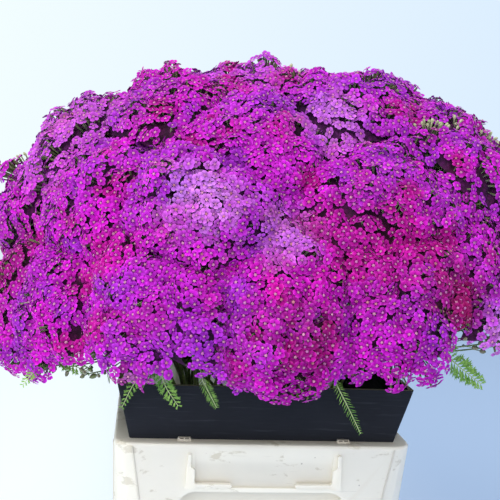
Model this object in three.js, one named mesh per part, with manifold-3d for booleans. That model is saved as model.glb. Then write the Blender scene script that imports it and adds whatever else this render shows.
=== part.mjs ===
// Yarrow in a trade flower container: cut stems in five bunches stand in water in a cream plastic container,
// a black cardboard collar on its ledge holds them together, and their flat flower heads close into one dome.
// Millimetres, +Z up. The origin is the middle of the container's underside. -Y is the short side in front.

import * as THREE from 'three';
import Module from 'manifold-3d';
import { mergeVertices } from 'three/addons/utils/BufferGeometryUtils.js';

const wasm = await Module();
wasm.setup();

// Driving dimensions

// How far shapes that are joined or cut run past each other
const overlap = 1;

const container = {
  width: 280,
  length: 375,
  height: 360,
  wall: 3,
  floor: 5,
  sideDraft: 0.03,
  endDraft: 0.09,
  cornerTop: 17,
  cornerFoot: 64,
  cornerSteps: 3,
  footRoundness: 0.4,
  edgeRadius: 3,
  edgeCurve: 0.3,
  ledgeWidth: 21,
  ledgeThickness: 4,
  mouthRadius: 14,
};

const handHold = { width: 157, height: 42, depth: 20, belowRim: 47, radius: 15 };
const cardHolder = {
  halfWidth: 70,
  top: 9,
  slopeEnd: 21,
  bottom: 43,
  recess: 2.5,
  backing: 3,
  backingMargin: 4,
  proud: 4,
  railWidth: 3,
  railStep: 4,
  bevel: 3,
  footAbove: 5,
  footLength: 33.5,
  footThickness: 3,
};
const rimTab = { fromCentre: 75, width: 13, depth: 4, height: 1.2, clear: 1.5, holeWidth: 4, holeDepth: 2.5 };

const collar = { ledgeShown: 14.4, height: 53.5, flare: 12.4, thickness: 4, cornerRadius: 3, cornerSteps: 2 };

const water = { level: 115, gap: 0.3, holeRadius: 12, holeSides: 6 };

const bunch = {
  fromMiddleX: 58,
  fromMiddleY: 104,
  radius: 9.5,
  waist: 0.9,
  flute: 1.6,
  sides: 8,
  gather: 0.09,
  splitHeight: 330,
  splitGap: 0.3,
  tieHeight: 350,
};

const dome = {
  halfWidth: 276,
  halfLength: 294,
  rise: 238,
  drop: 170,
  centreAboveRim: 110,
  fullness: 2.47,
  lean: 0.055,
  lowestDegrees: 84.2,
  leftDroopDegrees: 5,
};
const packing = { rounds: 60, reach: 3, furthestStep: 0.02, strength: 2e4, fallOff: 4 };

const heads = {
  count: 47,
  rings: 3,
  maxRadius: 73,
  gap: 2,
  neighbourReach: 4,
  leastFacing: 0.05,
  crown: 19,
  lobes: 3,
  lobeRise: 9,
  lobeOut: 0.52,
  lobeShift: 0.1,
  lobeTurn: 0.4,
  lobeWidth: 0.4,
  floretRise: 3,
  floretRiseShift: 1,
  floretShift: 0.12,
  outlineWave: 0.35,
  rimDrop: 13,
  hubDepth: 18,
  hubRadius: 9,
  hubSides: 3,
  shift: 9,
  tiltDegrees: 6,
};

const stem = {
  thick: 2.4,
  thin: 1.7,
  sides: 3,
  seatGap: 0.3,
  sunk: 8,
  spreadAt: 66,
  mouthX: 113,
  mouthY: 161,
  mouthSquareness: 4,
};
const ray = { count: 3, root: 40, apart: 6, reach: 0.6, radius: 1, sides: 3 };
const frond = {
  nearLowest: 0.06,
  offMiddle: 30,
  leaflets: 5,
  bare: 2,
  bareShare: 0.5,
  shortest: 37,
  longest: 53,
  leafletLength: 8.5,
  leafletLeast: 1,
  firstSwell: 0.2,
  lastSwell: 0.92,
  leafletSweep: 0.6,
  ribHalf: 1,
  ribTaper: 0.6,
  thickness: 0.9,
  clear: 7,
  overCollar: 7,
  arch: 15,
  archAt: 0.6,
  shift: 6,
  lean: 0.55,
  belly: 3,
};

const colours = {
  plastic: 0xe6e1da,
  cardboard: 0x22252e,
  water: 0xb9cdd2,
  green: 0x4f7a35,
  petals: [0xb0189c, 0xa52cb6, 0x9a45b8, 0xb5126f],
};

// Seeded random numbers

let seed = 20617;

function random() {
  seed = (seed + 0x6d2b79f5) | 0;
  let t = Math.imul(seed ^ (seed >>> 15), 1 | seed);
  t = (t + Math.imul(t ^ (t >>> 7), 61 | t)) ^ t;
  return ((t ^ (t >>> 14)) >>> 0) / 4294967296;
}

function spread(amount) {
  return (random() * 2 - 1) * amount;
}

// Solids

function toSolid(geometry) {
  const bare = new THREE.BufferGeometry();
  bare.setAttribute('position', geometry.getAttribute('position'));
  bare.setIndex(geometry.getIndex());
  const merged = mergeVertices(bare, 1e-3);
  return new wasm.Manifold(new wasm.Mesh({
    numProp: 3,
    vertProperties: new Float32Array(merged.getAttribute('position').array),
    triVerts: new Uint32Array(merged.getIndex().array),
  }));
}

function toGeometry(solid) {
  const mesh = solid.getMesh();
  const geometry = new THREE.BufferGeometry();
  geometry.setAttribute('position', new THREE.BufferAttribute(new Float32Array(mesh.vertProperties), 3));
  geometry.setIndex(new THREE.BufferAttribute(new Uint32Array(mesh.triVerts), 1));
  return geometry;
}

function joinAll(geometries) {
  return geometries.map(toSolid).reduce((whole, piece) => whole.add(piece));
}

function indexed(points, triangles) {
  const geometry = new THREE.BufferGeometry();
  geometry.setAttribute('position', new THREE.Float32BufferAttribute(points.flatMap((p) => [p.x, p.y, p.z]), 3));
  geometry.setIndex(triangles.flat());
  return geometry;
}

// A skin over loops that each have the same number of points, anticlockwise seen from the last loop's side.
// With ring set the last loop joins the first, and otherwise both ends are closed by a flat fan.
function loft(loops, ring = false) {
  const count = loops[0].length;
  const bands = ring ? loops.length : loops.length - 1;
  const triangles = [];
  for (let level = 0; level < bands; level += 1) {
    const low = level * count;
    const high = ((level + 1) % loops.length) * count;
    for (let k = 0; k < count; k += 1) {
      const next = (k + 1) % count;
      triangles.push([low + k, low + next, high + next]);
      triangles.push([low + k, high + next, high + k]);
    }
  }
  if (!ring) {
    const top = (loops.length - 1) * count;
    for (let k = 1; k < count - 1; k += 1) {
      triangles.push([0, k + 1, k], [top, top + k, top + k + 1]);
    }
  }
  return indexed(loops.flat(), triangles);
}

// A rod through points, thinner towards its end. With no end radius it runs out to a point.
function rod(points, startRadius, endRadius, sides) {
  const last = points.length - 1;
  const loops = [];
  let normal = new THREE.Vector3(0.31, 0.95, 0.05);
  points.forEach((centre, k) => {
    const along = points[Math.min(k + 1, last)].clone().sub(points[Math.max(k - 1, 0)]).normalize();
    const side = along.clone().cross(normal).normalize();
    normal = side.clone().cross(along);
    const radius = THREE.MathUtils.lerp(startRadius, endRadius, k / last);
    const loop = [];
    for (let corner = 0; corner < sides; corner += 1) {
      const angle = (corner / sides) * Math.PI * 2;
      loop.push(centre.clone()
        .addScaledVector(normal, Math.cos(angle) * radius)
        .addScaledVector(side, Math.sin(angle) * radius));
    }
    loops.push(loop);
  });
  if (endRadius > 0) {
    return loft(loops);
  }
  const body = loops.slice(0, -1);
  const tip = body.length * sides;
  const triangles = [];
  for (let level = 0; level < body.length; level += 1) {
    for (let k = 0; k < sides; k += 1) {
      const here = level * sides + k;
      const next = level * sides + (k + 1) % sides;
      if (level === body.length - 1) {
        triangles.push([here, next, tip]);
      } else {
        triangles.push([here, next, next + sides], [here, next + sides, here + sides]);
      }
    }
  }
  for (let k = 1; k < sides - 1; k += 1) {
    triangles.push([0, k + 1, k]);
  }
  return indexed([...body.flat(), points[last]], triangles);
}

// Points along a curve at the given shares of the way between its first and last control points
function pointsAt(curve, shares) {
  return shares.map((share) => curve.getPoint(share));
}

// Outlines

// A four-cornered loop at height z. Each corner reaches cut along both sides, and roundness takes it from a
// straight bevel at 0 to a quarter circle at 1.
function corneredLoop(halfX, halfY, z, cut, roundness, steps) {
  const points = [];
  for (const quadrant of [0, 1, 2, 3]) {
    const signX = quadrant === 0 || quadrant === 3 ? 1 : -1;
    const signY = quadrant < 2 ? 1 : -1;
    for (let k = 0; k <= steps; k += 1) {
      const share = quadrant % 2 === 0 ? k / steps : 1 - k / steps;
      const angle = share * Math.PI / 2;
      const x = THREE.MathUtils.lerp(1 - share, Math.cos(angle), roundness);
      const y = THREE.MathUtils.lerp(share, Math.sin(angle), roundness);
      points.push(new THREE.Vector3(signX * (halfX - cut + cut * x), signY * (halfY - cut + cut * y), z));
    }
  }
  return points;
}

function containerLoop(z, inset) {
  const down = container.height - z;
  const share = down / container.height;
  return corneredLoop(
    container.width / 2 - container.sideDraft * down - inset,
    container.length / 2 - container.endDraft * down - inset,
    z,
    THREE.MathUtils.lerp(container.cornerTop, container.cornerFoot, share),
    THREE.MathUtils.lerp(1, container.footRoundness, share),
    container.cornerSteps,
  );
}

function roundedRectangle(width, height, radius) {
  const x = width / 2;
  const y = height / 2;
  const shape = new THREE.Shape();
  shape.moveTo(-x + radius, -y);
  shape.lineTo(x - radius, -y);
  shape.absarc(x - radius, -y + radius, radius, -Math.PI / 2, 0);
  shape.lineTo(x, y - radius);
  shape.absarc(x - radius, y - radius, radius, 0, Math.PI / 2);
  shape.lineTo(-x + radius, y);
  shape.absarc(-x + radius, y - radius, radius, Math.PI / 2, Math.PI);
  shape.lineTo(-x, -y + radius);
  shape.absarc(-x + radius, -y + radius, radius, Math.PI, Math.PI * 1.5);
  return shape;
}

// Container

// Takes a shape drawn on a short side, x across, y up from the rim and z outwards, to its place on that side.
function onEnd(geometry, back) {
  const up = new THREE.Vector3(0, -container.endDraft, 1).normalize();
  const across = new THREE.Vector3(1, 0, 0);
  const matrix = new THREE.Matrix4().makeBasis(across, up, new THREE.Vector3().crossVectors(across, up));
  matrix.setPosition(0, -container.length / 2, container.height);
  if (back) {
    matrix.premultiply(new THREE.Matrix4().makeRotationZ(Math.PI));
  }
  return toSolid(geometry.clone().applyMatrix4(matrix));
}

function slab(shape, from, to) {
  const geometry = new THREE.ExtrudeGeometry(shape, { depth: to - from, bevelEnabled: false, curveSegments: 2 });
  return geometry.translate(0, 0, from);
}

function box(width, depth, height, x, y, z) {
  return new THREE.BoxGeometry(width, depth, height).translate(x, y, z);
}

function handHoldPocket(extra) {
  const { width, height, radius } = handHold;
  const shape = roundedRectangle(width + 2 * extra, height + 2 * extra, radius + extra);
  const middle = -(handHold.belowRim + height / 2);
  return slab(shape, -handHold.depth - extra, extra > 0 ? -overlap : container.wall).translate(0, middle, 0);
}

// Half the width of the panel between the card holder's two rails
function cardInner() {
  return cardHolder.halfWidth - cardHolder.railWidth / 2 - cardHolder.railStep;
}

// One side of the card holder: an upright rib with a foot that the card stands on
function cardRail(side) {
  const { halfWidth, top, slopeEnd, bottom, proud } = cardHolder;
  const { railWidth, bevel, footAbove, footLength, footThickness } = cardHolder;
  const inner = cardInner();
  const footTop = bottom - footAbove;
  const footEnd = inner - footLength;
  const outline = [
    [halfWidth + railWidth / 2, -top],
    [halfWidth - railWidth / 2, -top],
    [halfWidth - railWidth / 2, -slopeEnd],
    [inner, -slopeEnd - bevel],
    [inner, -footTop + bevel / 2],
    [inner - bevel / 2, -footTop],
    [footEnd, -footTop],
    [footEnd - footThickness / 2, -footTop - footThickness / 2],
    [footEnd, -footTop - footThickness],
    [inner - bevel, -footTop - footThickness],
    [inner, -bottom],
    [halfWidth + bevel, -bottom],
  ];
  const shape = new THREE.Shape(outline.map(([x, y]) => new THREE.Vector2(side * x, y)));
  return slab(shape, -overlap, proud);
}

// The card panel is cut in from the face, with a sloping top that the card slides down
function cardRecess() {
  const { top, slopeEnd, bottom, recess } = cardHolder;
  const profile = new THREE.Shape([
    new THREE.Vector2(overlap, -top),
    new THREE.Vector2(0, -top),
    new THREE.Vector2(-recess, -slopeEnd),
    new THREE.Vector2(-recess, -bottom),
    new THREE.Vector2(overlap, -bottom),
  ]);
  const geometry = slab(profile, -cardInner(), cardInner());
  return geometry.applyMatrix4(new THREE.Matrix4().makeBasis(
    new THREE.Vector3(0, 0, 1),
    new THREE.Vector3(0, 1, 0),
    new THREE.Vector3(-1, 0, 0),
  ));
}

function cardBacking() {
  const { halfWidth, top, bottom, recess, backing, backingMargin } = cardHolder;
  const depth = recess + backing - overlap;
  const tall = bottom - top + 2 * backingMargin;
  return box(2 * halfWidth, tall, depth, 0, -(top + bottom) / 2, -overlap - depth / 2);
}

// The pairs of small holes in the ledge, each with a low tab behind them
function rimTabs(back) {
  const turn = back ? -1 : 1;
  const tabs = [];
  const holes = [];
  const tabY = -(container.length / 2 - collar.ledgeShown) - rimTab.depth / 2 - rimTab.clear;
  const holeY = tabY - rimTab.depth / 2 - rimTab.holeDepth / 2;
  for (const side of [-1, 1]) {
    const x = side * rimTab.fromCentre;
    tabs.push(box(rimTab.width, rimTab.depth, rimTab.height + overlap, turn * x, turn * tabY,
      container.height + (rimTab.height - overlap) / 2));
    for (const offset of [-1, 1]) {
      const holeX = x + offset * (rimTab.width / 4);
      holes.push(box(rimTab.holeWidth, rimTab.holeDepth, 3 * container.ledgeThickness, turn * holeX,
        turn * holeY, container.height));
    }
  }
  return { tabs, holes };
}

function containerBody() {
  const { height, edgeRadius, edgeCurve, wall, floor, ledgeThickness, ledgeWidth } = container;
  const outside = loft([
    containerLoop(0, edgeRadius),
    containerLoop(edgeRadius, 0),
    containerLoop(height / 2, 0),
    containerLoop(height - edgeRadius, 0),
    containerLoop(height - edgeRadius * edgeCurve, edgeRadius * edgeCurve),
    containerLoop(height, edgeRadius),
  ]);
  const inside = loft([
    containerLoop(floor, wall),
    containerLoop(height / 2, wall),
    containerLoop(height - ledgeThickness, wall),
  ]);
  const mouthLoop = (z) => corneredLoop(container.width / 2 - ledgeWidth, container.length / 2 - ledgeWidth, z,
    container.mouthRadius, 1, container.cornerSteps);
  let body = toSolid(outside).subtract(toSolid(inside));
  body = body.subtract(toSolid(loft([mouthLoop(height - 2 * ledgeThickness), mouthLoop(height + overlap)])));
  for (const back of [false, true]) {
    const { tabs, holes } = rimTabs(back);
    body = body.add(onEnd(handHoldPocket(wall), back)).add(onEnd(cardBacking(), back));
    body = body.subtract(onEnd(handHoldPocket(0), back)).subtract(onEnd(cardRecess(), back));
    body = body.add(onEnd(cardRail(1), back)).add(onEnd(cardRail(-1), back));
    body = body.add(joinAll(tabs)).subtract(joinAll(holes));
  }
  return toGeometry(body);
}

// Collar

function collarRing() {
  const foot = container.height;
  const halfX = container.width / 2 - collar.ledgeShown;
  const halfY = container.length / 2 - collar.ledgeShown;
  const loop = (out, z) => corneredLoop(halfX + out, halfY + out, z, collar.cornerRadius, 1, collar.cornerSteps);
  return loft([
    loop(0, foot),
    loop(collar.flare, foot + collar.height),
    loop(collar.flare - collar.thickness, foot + collar.height),
    loop(-collar.thickness, foot),
  ], true);
}

// Water

// One bunch in each corner and one in the middle
function bunchPlaces() {
  const places = [new THREE.Vector2(0, 0)];
  for (const y of [-bunch.fromMiddleY, bunch.fromMiddleY]) {
    for (const x of [-bunch.fromMiddleX, bunch.fromMiddleX]) {
      places.push(new THREE.Vector2(x, y));
    }
  }
  return places;
}

function circleLoop(centre, z, radius, sides, flute = 0) {
  const loop = [];
  for (let k = 0; k < sides; k += 1) {
    const angle = (k / sides) * Math.PI * 2;
    const reach = radius - (k % 2) * flute;
    loop.push(new THREE.Vector3(centre.x + Math.cos(angle) * reach, centre.y + Math.sin(angle) * reach, z));
  }
  return loop;
}

function waterBody() {
  const inset = container.wall + water.gap;
  const bottom = container.floor + water.gap;
  const depth = water.level - bottom;
  const filled = loft([containerLoop(container.floor, inset), containerLoop(container.height / 2, inset)]);
  let body = toSolid(filled)
    .intersect(toSolid(box(container.width, container.length, depth, 0, 0, bottom + depth / 2)));
  for (const place of bunchPlaces()) {
    const hole = loft([
      circleLoop(place, bottom - overlap, water.holeRadius, water.holeSides),
      circleLoop(place, water.level + overlap, water.holeRadius, water.holeSides),
    ]);
    body = body.subtract(toSolid(hole));
  }
  return toGeometry(body);
}

// Flower heads

const domeCentre = new THREE.Vector3(0, 0, container.height + dome.centreAboveRim);

// The dome's surface in a direction from its centre: fuller than an ellipsoid, and larger on the side it leans to
function domePoint(direction) {
  const up = direction.z > 0 ? dome.rise : dome.drop;
  const sum = Math.abs(direction.x / dome.halfWidth) ** dome.fullness
    + Math.abs(direction.y / dome.halfLength) ** dome.fullness
    + Math.abs(direction.z / up) ** dome.fullness;
  const reach = sum ** (-1 / dome.fullness) * (1 + dome.lean * direction.x);
  return domeCentre.clone().addScaledVector(direction, reach);
}

function domeNormal(direction) {
  const step = 0.02;
  const side = new THREE.Vector3(0, 1, 0).cross(direction);
  if (side.lengthSq() < 0.01) {
    side.set(1, 0, 0).cross(direction);
  }
  side.normalize();
  const other = direction.clone().cross(side);
  const here = domePoint(direction);
  const a = domePoint(direction.clone().addScaledVector(side, step).normalize()).sub(here);
  const b = domePoint(direction.clone().addScaledVector(other, step).normalize()).sub(here);
  return a.cross(b).normalize();
}

// The lowest angle from the top at which a head may sit: larger on the left, where the heads droop, and smaller
// by as much on the right
function lowestAngle(direction) {
  const left = -direction.x / Math.hypot(direction.x, direction.y, 1e-6);
  return THREE.MathUtils.degToRad(dome.lowestDegrees + dome.leftDroopDegrees * left);
}

function keepAboveSkirt(direction) {
  const angle = Math.acos(THREE.MathUtils.clamp(direction.z, -1, 1));
  const lowest = lowestAngle(direction);
  if (angle > lowest) {
    const flat = Math.hypot(direction.x, direction.y);
    direction.set(direction.x / flat * Math.sin(lowest), direction.y / flat * Math.sin(lowest), Math.cos(lowest));
  }
  return direction.normalize();
}

// Heads spread like seeds on a sunflower, then push each other apart until they are evenly packed
function headDirections() {
  const lowest = THREE.MathUtils.degToRad(dome.lowestDegrees);
  const golden = Math.PI * (3 - Math.sqrt(5));
  const directions = [];
  for (let k = 0; k < heads.count; k += 1) {
    const z = 1 - ((k + 0.5) / heads.count) * (1 - Math.cos(lowest));
    const flat = Math.sqrt(1 - z * z);
    directions.push(new THREE.Vector3(flat * Math.cos(golden * k), flat * Math.sin(golden * k), z));
  }
  for (let round = 0; round < packing.rounds; round += 1) {
    const points = directions.map(domePoint);
    directions.forEach((direction, i) => {
      const push = new THREE.Vector3();
      points.forEach((point, j) => {
        const away = points[i].clone().sub(point);
        const distance = away.length();
        if (j !== i && distance < packing.reach * heads.maxRadius) {
          push.addScaledVector(away, distance ** -packing.fallOff);
        }
      });
      push.addScaledVector(direction, -push.dot(direction));
      const length = push.length();
      direction.addScaledVector(push, Math.min(packing.furthestStep, length * packing.strength) / (length || 1));
      keepAboveSkirt(direction);
    });
  }
  return directions;
}

function tangentFrame(normal) {
  const first = new THREE.Vector3(0, 0, 1).cross(normal);
  if (first.lengthSq() < 1e-3) {
    first.set(1, 0, 0);
  }
  first.normalize();
  return { first, second: normal.clone().cross(first) };
}

function placeHeads() {
  return headDirections().map((direction) => {
    const normal = domeNormal(direction);
    const frame = tangentFrame(normal);
    const tilt = Math.tan(THREE.MathUtils.degToRad(heads.tiltDegrees));
    const axis = normal.clone()
      .addScaledVector(frame.first, spread(tilt))
      .addScaledVector(frame.second, spread(tilt))
      .normalize();
    const centre = domePoint(direction).addScaledVector(normal, spread(heads.shift));
    return { direction, centre, axis, mouth: mouthPoint(direction), ...tangentFrame(axis) };
  });
}

function neighbours(head, placed) {
  const furthestOff = heads.neighbourReach * heads.maxRadius;
  return placed.filter((other) => other !== head && other.centre.distanceTo(head.centre) < furthestOff);
}

// How far a head may reach from its centre along a direction before it meets the plane half way to a neighbour.
// Neighbours nearly square to that direction are left to keepApart.
function reachTowards(head, others, along) {
  let reach = heads.maxRadius;
  for (const other of others) {
    const apart = other.centre.clone().sub(head.centre);
    const distance = apart.length();
    const facing = along.dot(apart) / distance;
    if (facing > heads.leastFacing) {
      reach = Math.min(reach, (distance / 2 - heads.gap / 2) / facing);
    }
  }
  return reach;
}

function keepApart(point, head, others) {
  for (const other of others) {
    const apart = other.centre.clone().sub(head.centre);
    const distance = apart.length();
    apart.divideScalar(distance);
    const past = point.clone().sub(head.centre).dot(apart) - (distance / 2 - heads.gap / 2);
    if (past > 0) {
      point.addScaledVector(apart, -past);
    }
  }
  return point;
}

// Six-sided cells in rings round a middle one. Each is one floret: a middle point and the corners that it
// shares with its neighbours. The six outermost cells are left off, so that the outline is rounder.
function floretCells() {
  const corners = [];
  const found = new Map();
  const cells = [];
  const cornerAt = (x, y) => {
    const key = `${Math.round(x * 100)},${Math.round(y * 100)}`;
    if (!found.has(key)) {
      found.set(key, corners.length);
      corners.push(new THREE.Vector2(x, y));
    }
    return found.get(key);
  };
  for (let q = -heads.rings; q <= heads.rings; q += 1) {
    for (let r = -heads.rings; r <= heads.rings; r += 1) {
      const third = -q - r;
      const ringNumber = Math.max(Math.abs(q), Math.abs(r), Math.abs(third));
      const atTip = ringNumber === heads.rings && [q, r, third].includes(0);
      if (ringNumber > heads.rings || atTip) {
        continue;
      }
      const middle = new THREE.Vector2(q + r / 2, r * Math.sqrt(3) / 2);
      const around = [];
      for (let k = 0; k < 6; k += 1) {
        const angle = Math.PI / 6 + k * Math.PI / 3;
        around.push(cornerAt(middle.x + Math.cos(angle) / Math.sqrt(3), middle.y + Math.sin(angle) / Math.sqrt(3)));
      }
      cells.push({ middle, around });
    }
  }
  return { corners, cells };
}

// The corners on the outline, in order
function outlineOf(cells) {
  const next = new Map();
  for (const { around } of cells) {
    around.forEach((corner, k) => {
      const following = around[(k + 1) % 6];
      if (next.get(following)?.has(corner)) {
        next.get(following).delete(corner);
      } else {
        next.set(corner, (next.get(corner) ?? new Set()).add(following));
      }
    });
  }
  const start = [...next.keys()].find((corner) => next.get(corner).size > 0);
  const outline = [start];
  let corner = [...next.get(start)][0];
  while (corner !== start) {
    outline.push(corner);
    corner = [...next.get(corner)][0];
  }
  return outline;
}

const pattern = floretCells();
const patternOutline = outlineOf(pattern.cells);

function angleBetween(one, other) {
  return Math.abs(Math.atan2(Math.sin(one - other), Math.cos(one - other)));
}

// How far out a spot of the pattern lies, from 0 at the middle to 1 at the outline
function shareOf(spot) {
  const angle = Math.atan2(spot.y, spot.x);
  const nearest = patternOutline
    .map((k) => pattern.corners[k])
    .map((corner) => ({ corner, off: angleBetween(angle, corner.angle()) }))
    .sort((a, b) => a.off - b.off)
    .slice(0, 2);
  const total = nearest[0].off + nearest[1].off || 1;
  const edge = (nearest[0].corner.length() * nearest[1].off + nearest[1].corner.length() * nearest[0].off) / total;
  return spot.length() / edge;
}

const furthest = Math.max(...pattern.corners.map((corner) => corner.length()));

// A head: a low dome of florets over a nearly flat underside, with a small flat hub where the stem meets it
function flowerHead(head, others) {
  const turn = random() * Math.PI * 2;
  const lobeTurn = random() * Math.PI * 2;
  const lobes = [];
  for (let k = 0; k < heads.lobes; k += 1) {
    const angle = lobeTurn + (k / heads.lobes) * Math.PI * 2 + spread(heads.lobeTurn);
    const out = heads.lobeOut + spread(heads.lobeShift);
    lobes.push(new THREE.Vector2(Math.cos(angle), Math.sin(angle)).multiplyScalar(out));
  }
  const heightAt = (flat, share) => {
    const nearest = Math.min(...lobes.map((lobe) => lobe.distanceTo(flat)));
    const lobe = heads.lobeRise * Math.exp(-((nearest / heads.lobeWidth) ** 2));
    return heads.crown * (1 - share * share) + lobe * (1 - share ** 4) - heads.rimDrop;
  };
  const place = (spot, rise) => {
    const angle = Math.atan2(spot.y, spot.x) + turn;
    const wave = 1 - heads.outlineWave * shareOf(spot) * (1 - spot.length() / furthest);
    const share = Math.min(1, shareOf(spot) * wave);
    const along = head.first.clone().multiplyScalar(Math.cos(angle))
      .addScaledVector(head.second, Math.sin(angle));
    const reach = share * reachTowards(head, others, along);
    const flat = new THREE.Vector2(Math.cos(angle), Math.sin(angle)).multiplyScalar(share);
    const point = head.centre.clone()
      .addScaledVector(along, reach)
      .addScaledVector(head.axis, heightAt(flat, share) + rise);
    return keepApart(point, head, others);
  };
  const onOutline = new Set(patternOutline);
  const points = pattern.corners.map((corner, k) => place(corner, onOutline.has(k) ? 0 : -heads.floretRise));
  const triangles = [];
  for (const { middle, around } of pattern.cells) {
    const shaken = middle.clone().add(new THREE.Vector2(spread(heads.floretShift), spread(heads.floretShift)));
    points.push(place(shaken, heads.floretRise + spread(heads.floretRiseShift)));
    around.forEach((corner, k) => triangles.push([points.length - 1, corner, around[(k + 1) % 6]]));
  }
  const hubStart = points.length;
  for (let k = 0; k < heads.hubSides; k += 1) {
    const corner = pattern.corners[patternOutline[Math.round(k * patternOutline.length / heads.hubSides)]];
    const angle = Math.atan2(corner.y, corner.x) + turn;
    points.push(head.centre.clone()
      .addScaledVector(head.first, Math.cos(angle) * heads.hubRadius)
      .addScaledVector(head.second, Math.sin(angle) * heads.hubRadius)
      .addScaledVector(head.axis, -heads.hubDepth));
  }
  const around = patternOutline.length;
  for (let k = 0; k < around; k += 1) {
    const hub = hubStart + Math.round((k * heads.hubSides) / around) % heads.hubSides;
    const nextHub = hubStart + Math.round(((k + 1) * heads.hubSides) / around) % heads.hubSides;
    const here = patternOutline[k];
    const following = patternOutline[(k + 1) % around];
    triangles.push([following, here, hub]);
    if (nextHub !== hub) {
      triangles.push([following, hub, nextHub]);
    }
  }
  for (let k = 1; k < heads.hubSides - 1; k += 1) {
    triangles.push([hubStart, hubStart + k + 1, hubStart + k]);
  }
  return indexed(points, triangles);
}

// Stems

// Where a head's stem passes the collar: the dome's directions shrunk to fit inside it
function mouthPoint(direction) {
  const angle = Math.acos(THREE.MathUtils.clamp(direction.z, -1, 1));
  const share = Math.min(1, angle / THREE.MathUtils.degToRad(dome.lowestDegrees));
  const flat = new THREE.Vector2(direction.x, direction.y).normalize();
  const power = stem.mouthSquareness;
  const sum = Math.abs(flat.x / stem.mouthX) ** power + Math.abs(flat.y / stem.mouthY) ** power;
  return flat.multiplyScalar(share * sum ** (-1 / power));
}

// Each head belongs to the bunch nearest to the point where its stem passes the collar
function shareHeads(placed) {
  const shares = bunchPlaces().map((place) => ({ place, members: [] }));
  for (const head of placed) {
    const distances = shares.map(({ place }) => place.distanceTo(head.mouth));
    shares[distances.indexOf(Math.min(...distances))].members.push(head);
  }
  return shares;
}

// From the bunch up through the mouth, then outwards, and into the head square to it
function stemPoints(head, place) {
  const root = head.mouth.clone().sub(place).multiplyScalar(bunch.gather).add(place);
  const hub = head.centre.clone().addScaledVector(head.axis, -heads.hubDepth - stem.seatGap);
  const curve = new THREE.CatmullRomCurve3([
    new THREE.Vector3(root.x, root.y, bunch.tieHeight - stem.sunk),
    new THREE.Vector3(head.mouth.x, head.mouth.y, container.height + stem.spreadAt),
    hub.clone().addScaledVector(head.axis, -ray.root),
    hub,
  ], false, 'centripetal');
  return pointsAt(curve, [0, 1 / 3, 1 / 2, 2 / 3, 1]);
}

// Thin branches that leave the stem one above the other and spread under the head
function headRays(head, others) {
  const rays = [];
  const turn = random() * Math.PI * 2;
  for (let k = 0; k < ray.count; k += 1) {
    const angle = turn + (k / ray.count) * Math.PI * 2;
    const along = head.first.clone().multiplyScalar(Math.cos(angle))
      .addScaledVector(head.second, Math.sin(angle));
    const reach = ray.reach * reachTowards(head, others, along);
    const root = head.centre.clone().addScaledVector(head.axis, -heads.hubDepth - ray.root + k * ray.apart);
    const tip = head.centre.clone()
      .addScaledVector(along, reach)
      .addScaledVector(head.axis, -heads.hubDepth - stem.seatGap);
    rays.push(rod([root, tip], ray.radius, 0, ray.sides));
  }
  return rays;
}

// Foliage

// How long a leaflet is against the longest, by how far along the leaf it grows from 0 to 1
function leafletShare(grown) {
  return Math.sin(Math.PI * THREE.MathUtils.lerp(frond.firstSwell, frond.lastSwell, grown));
}

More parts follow.
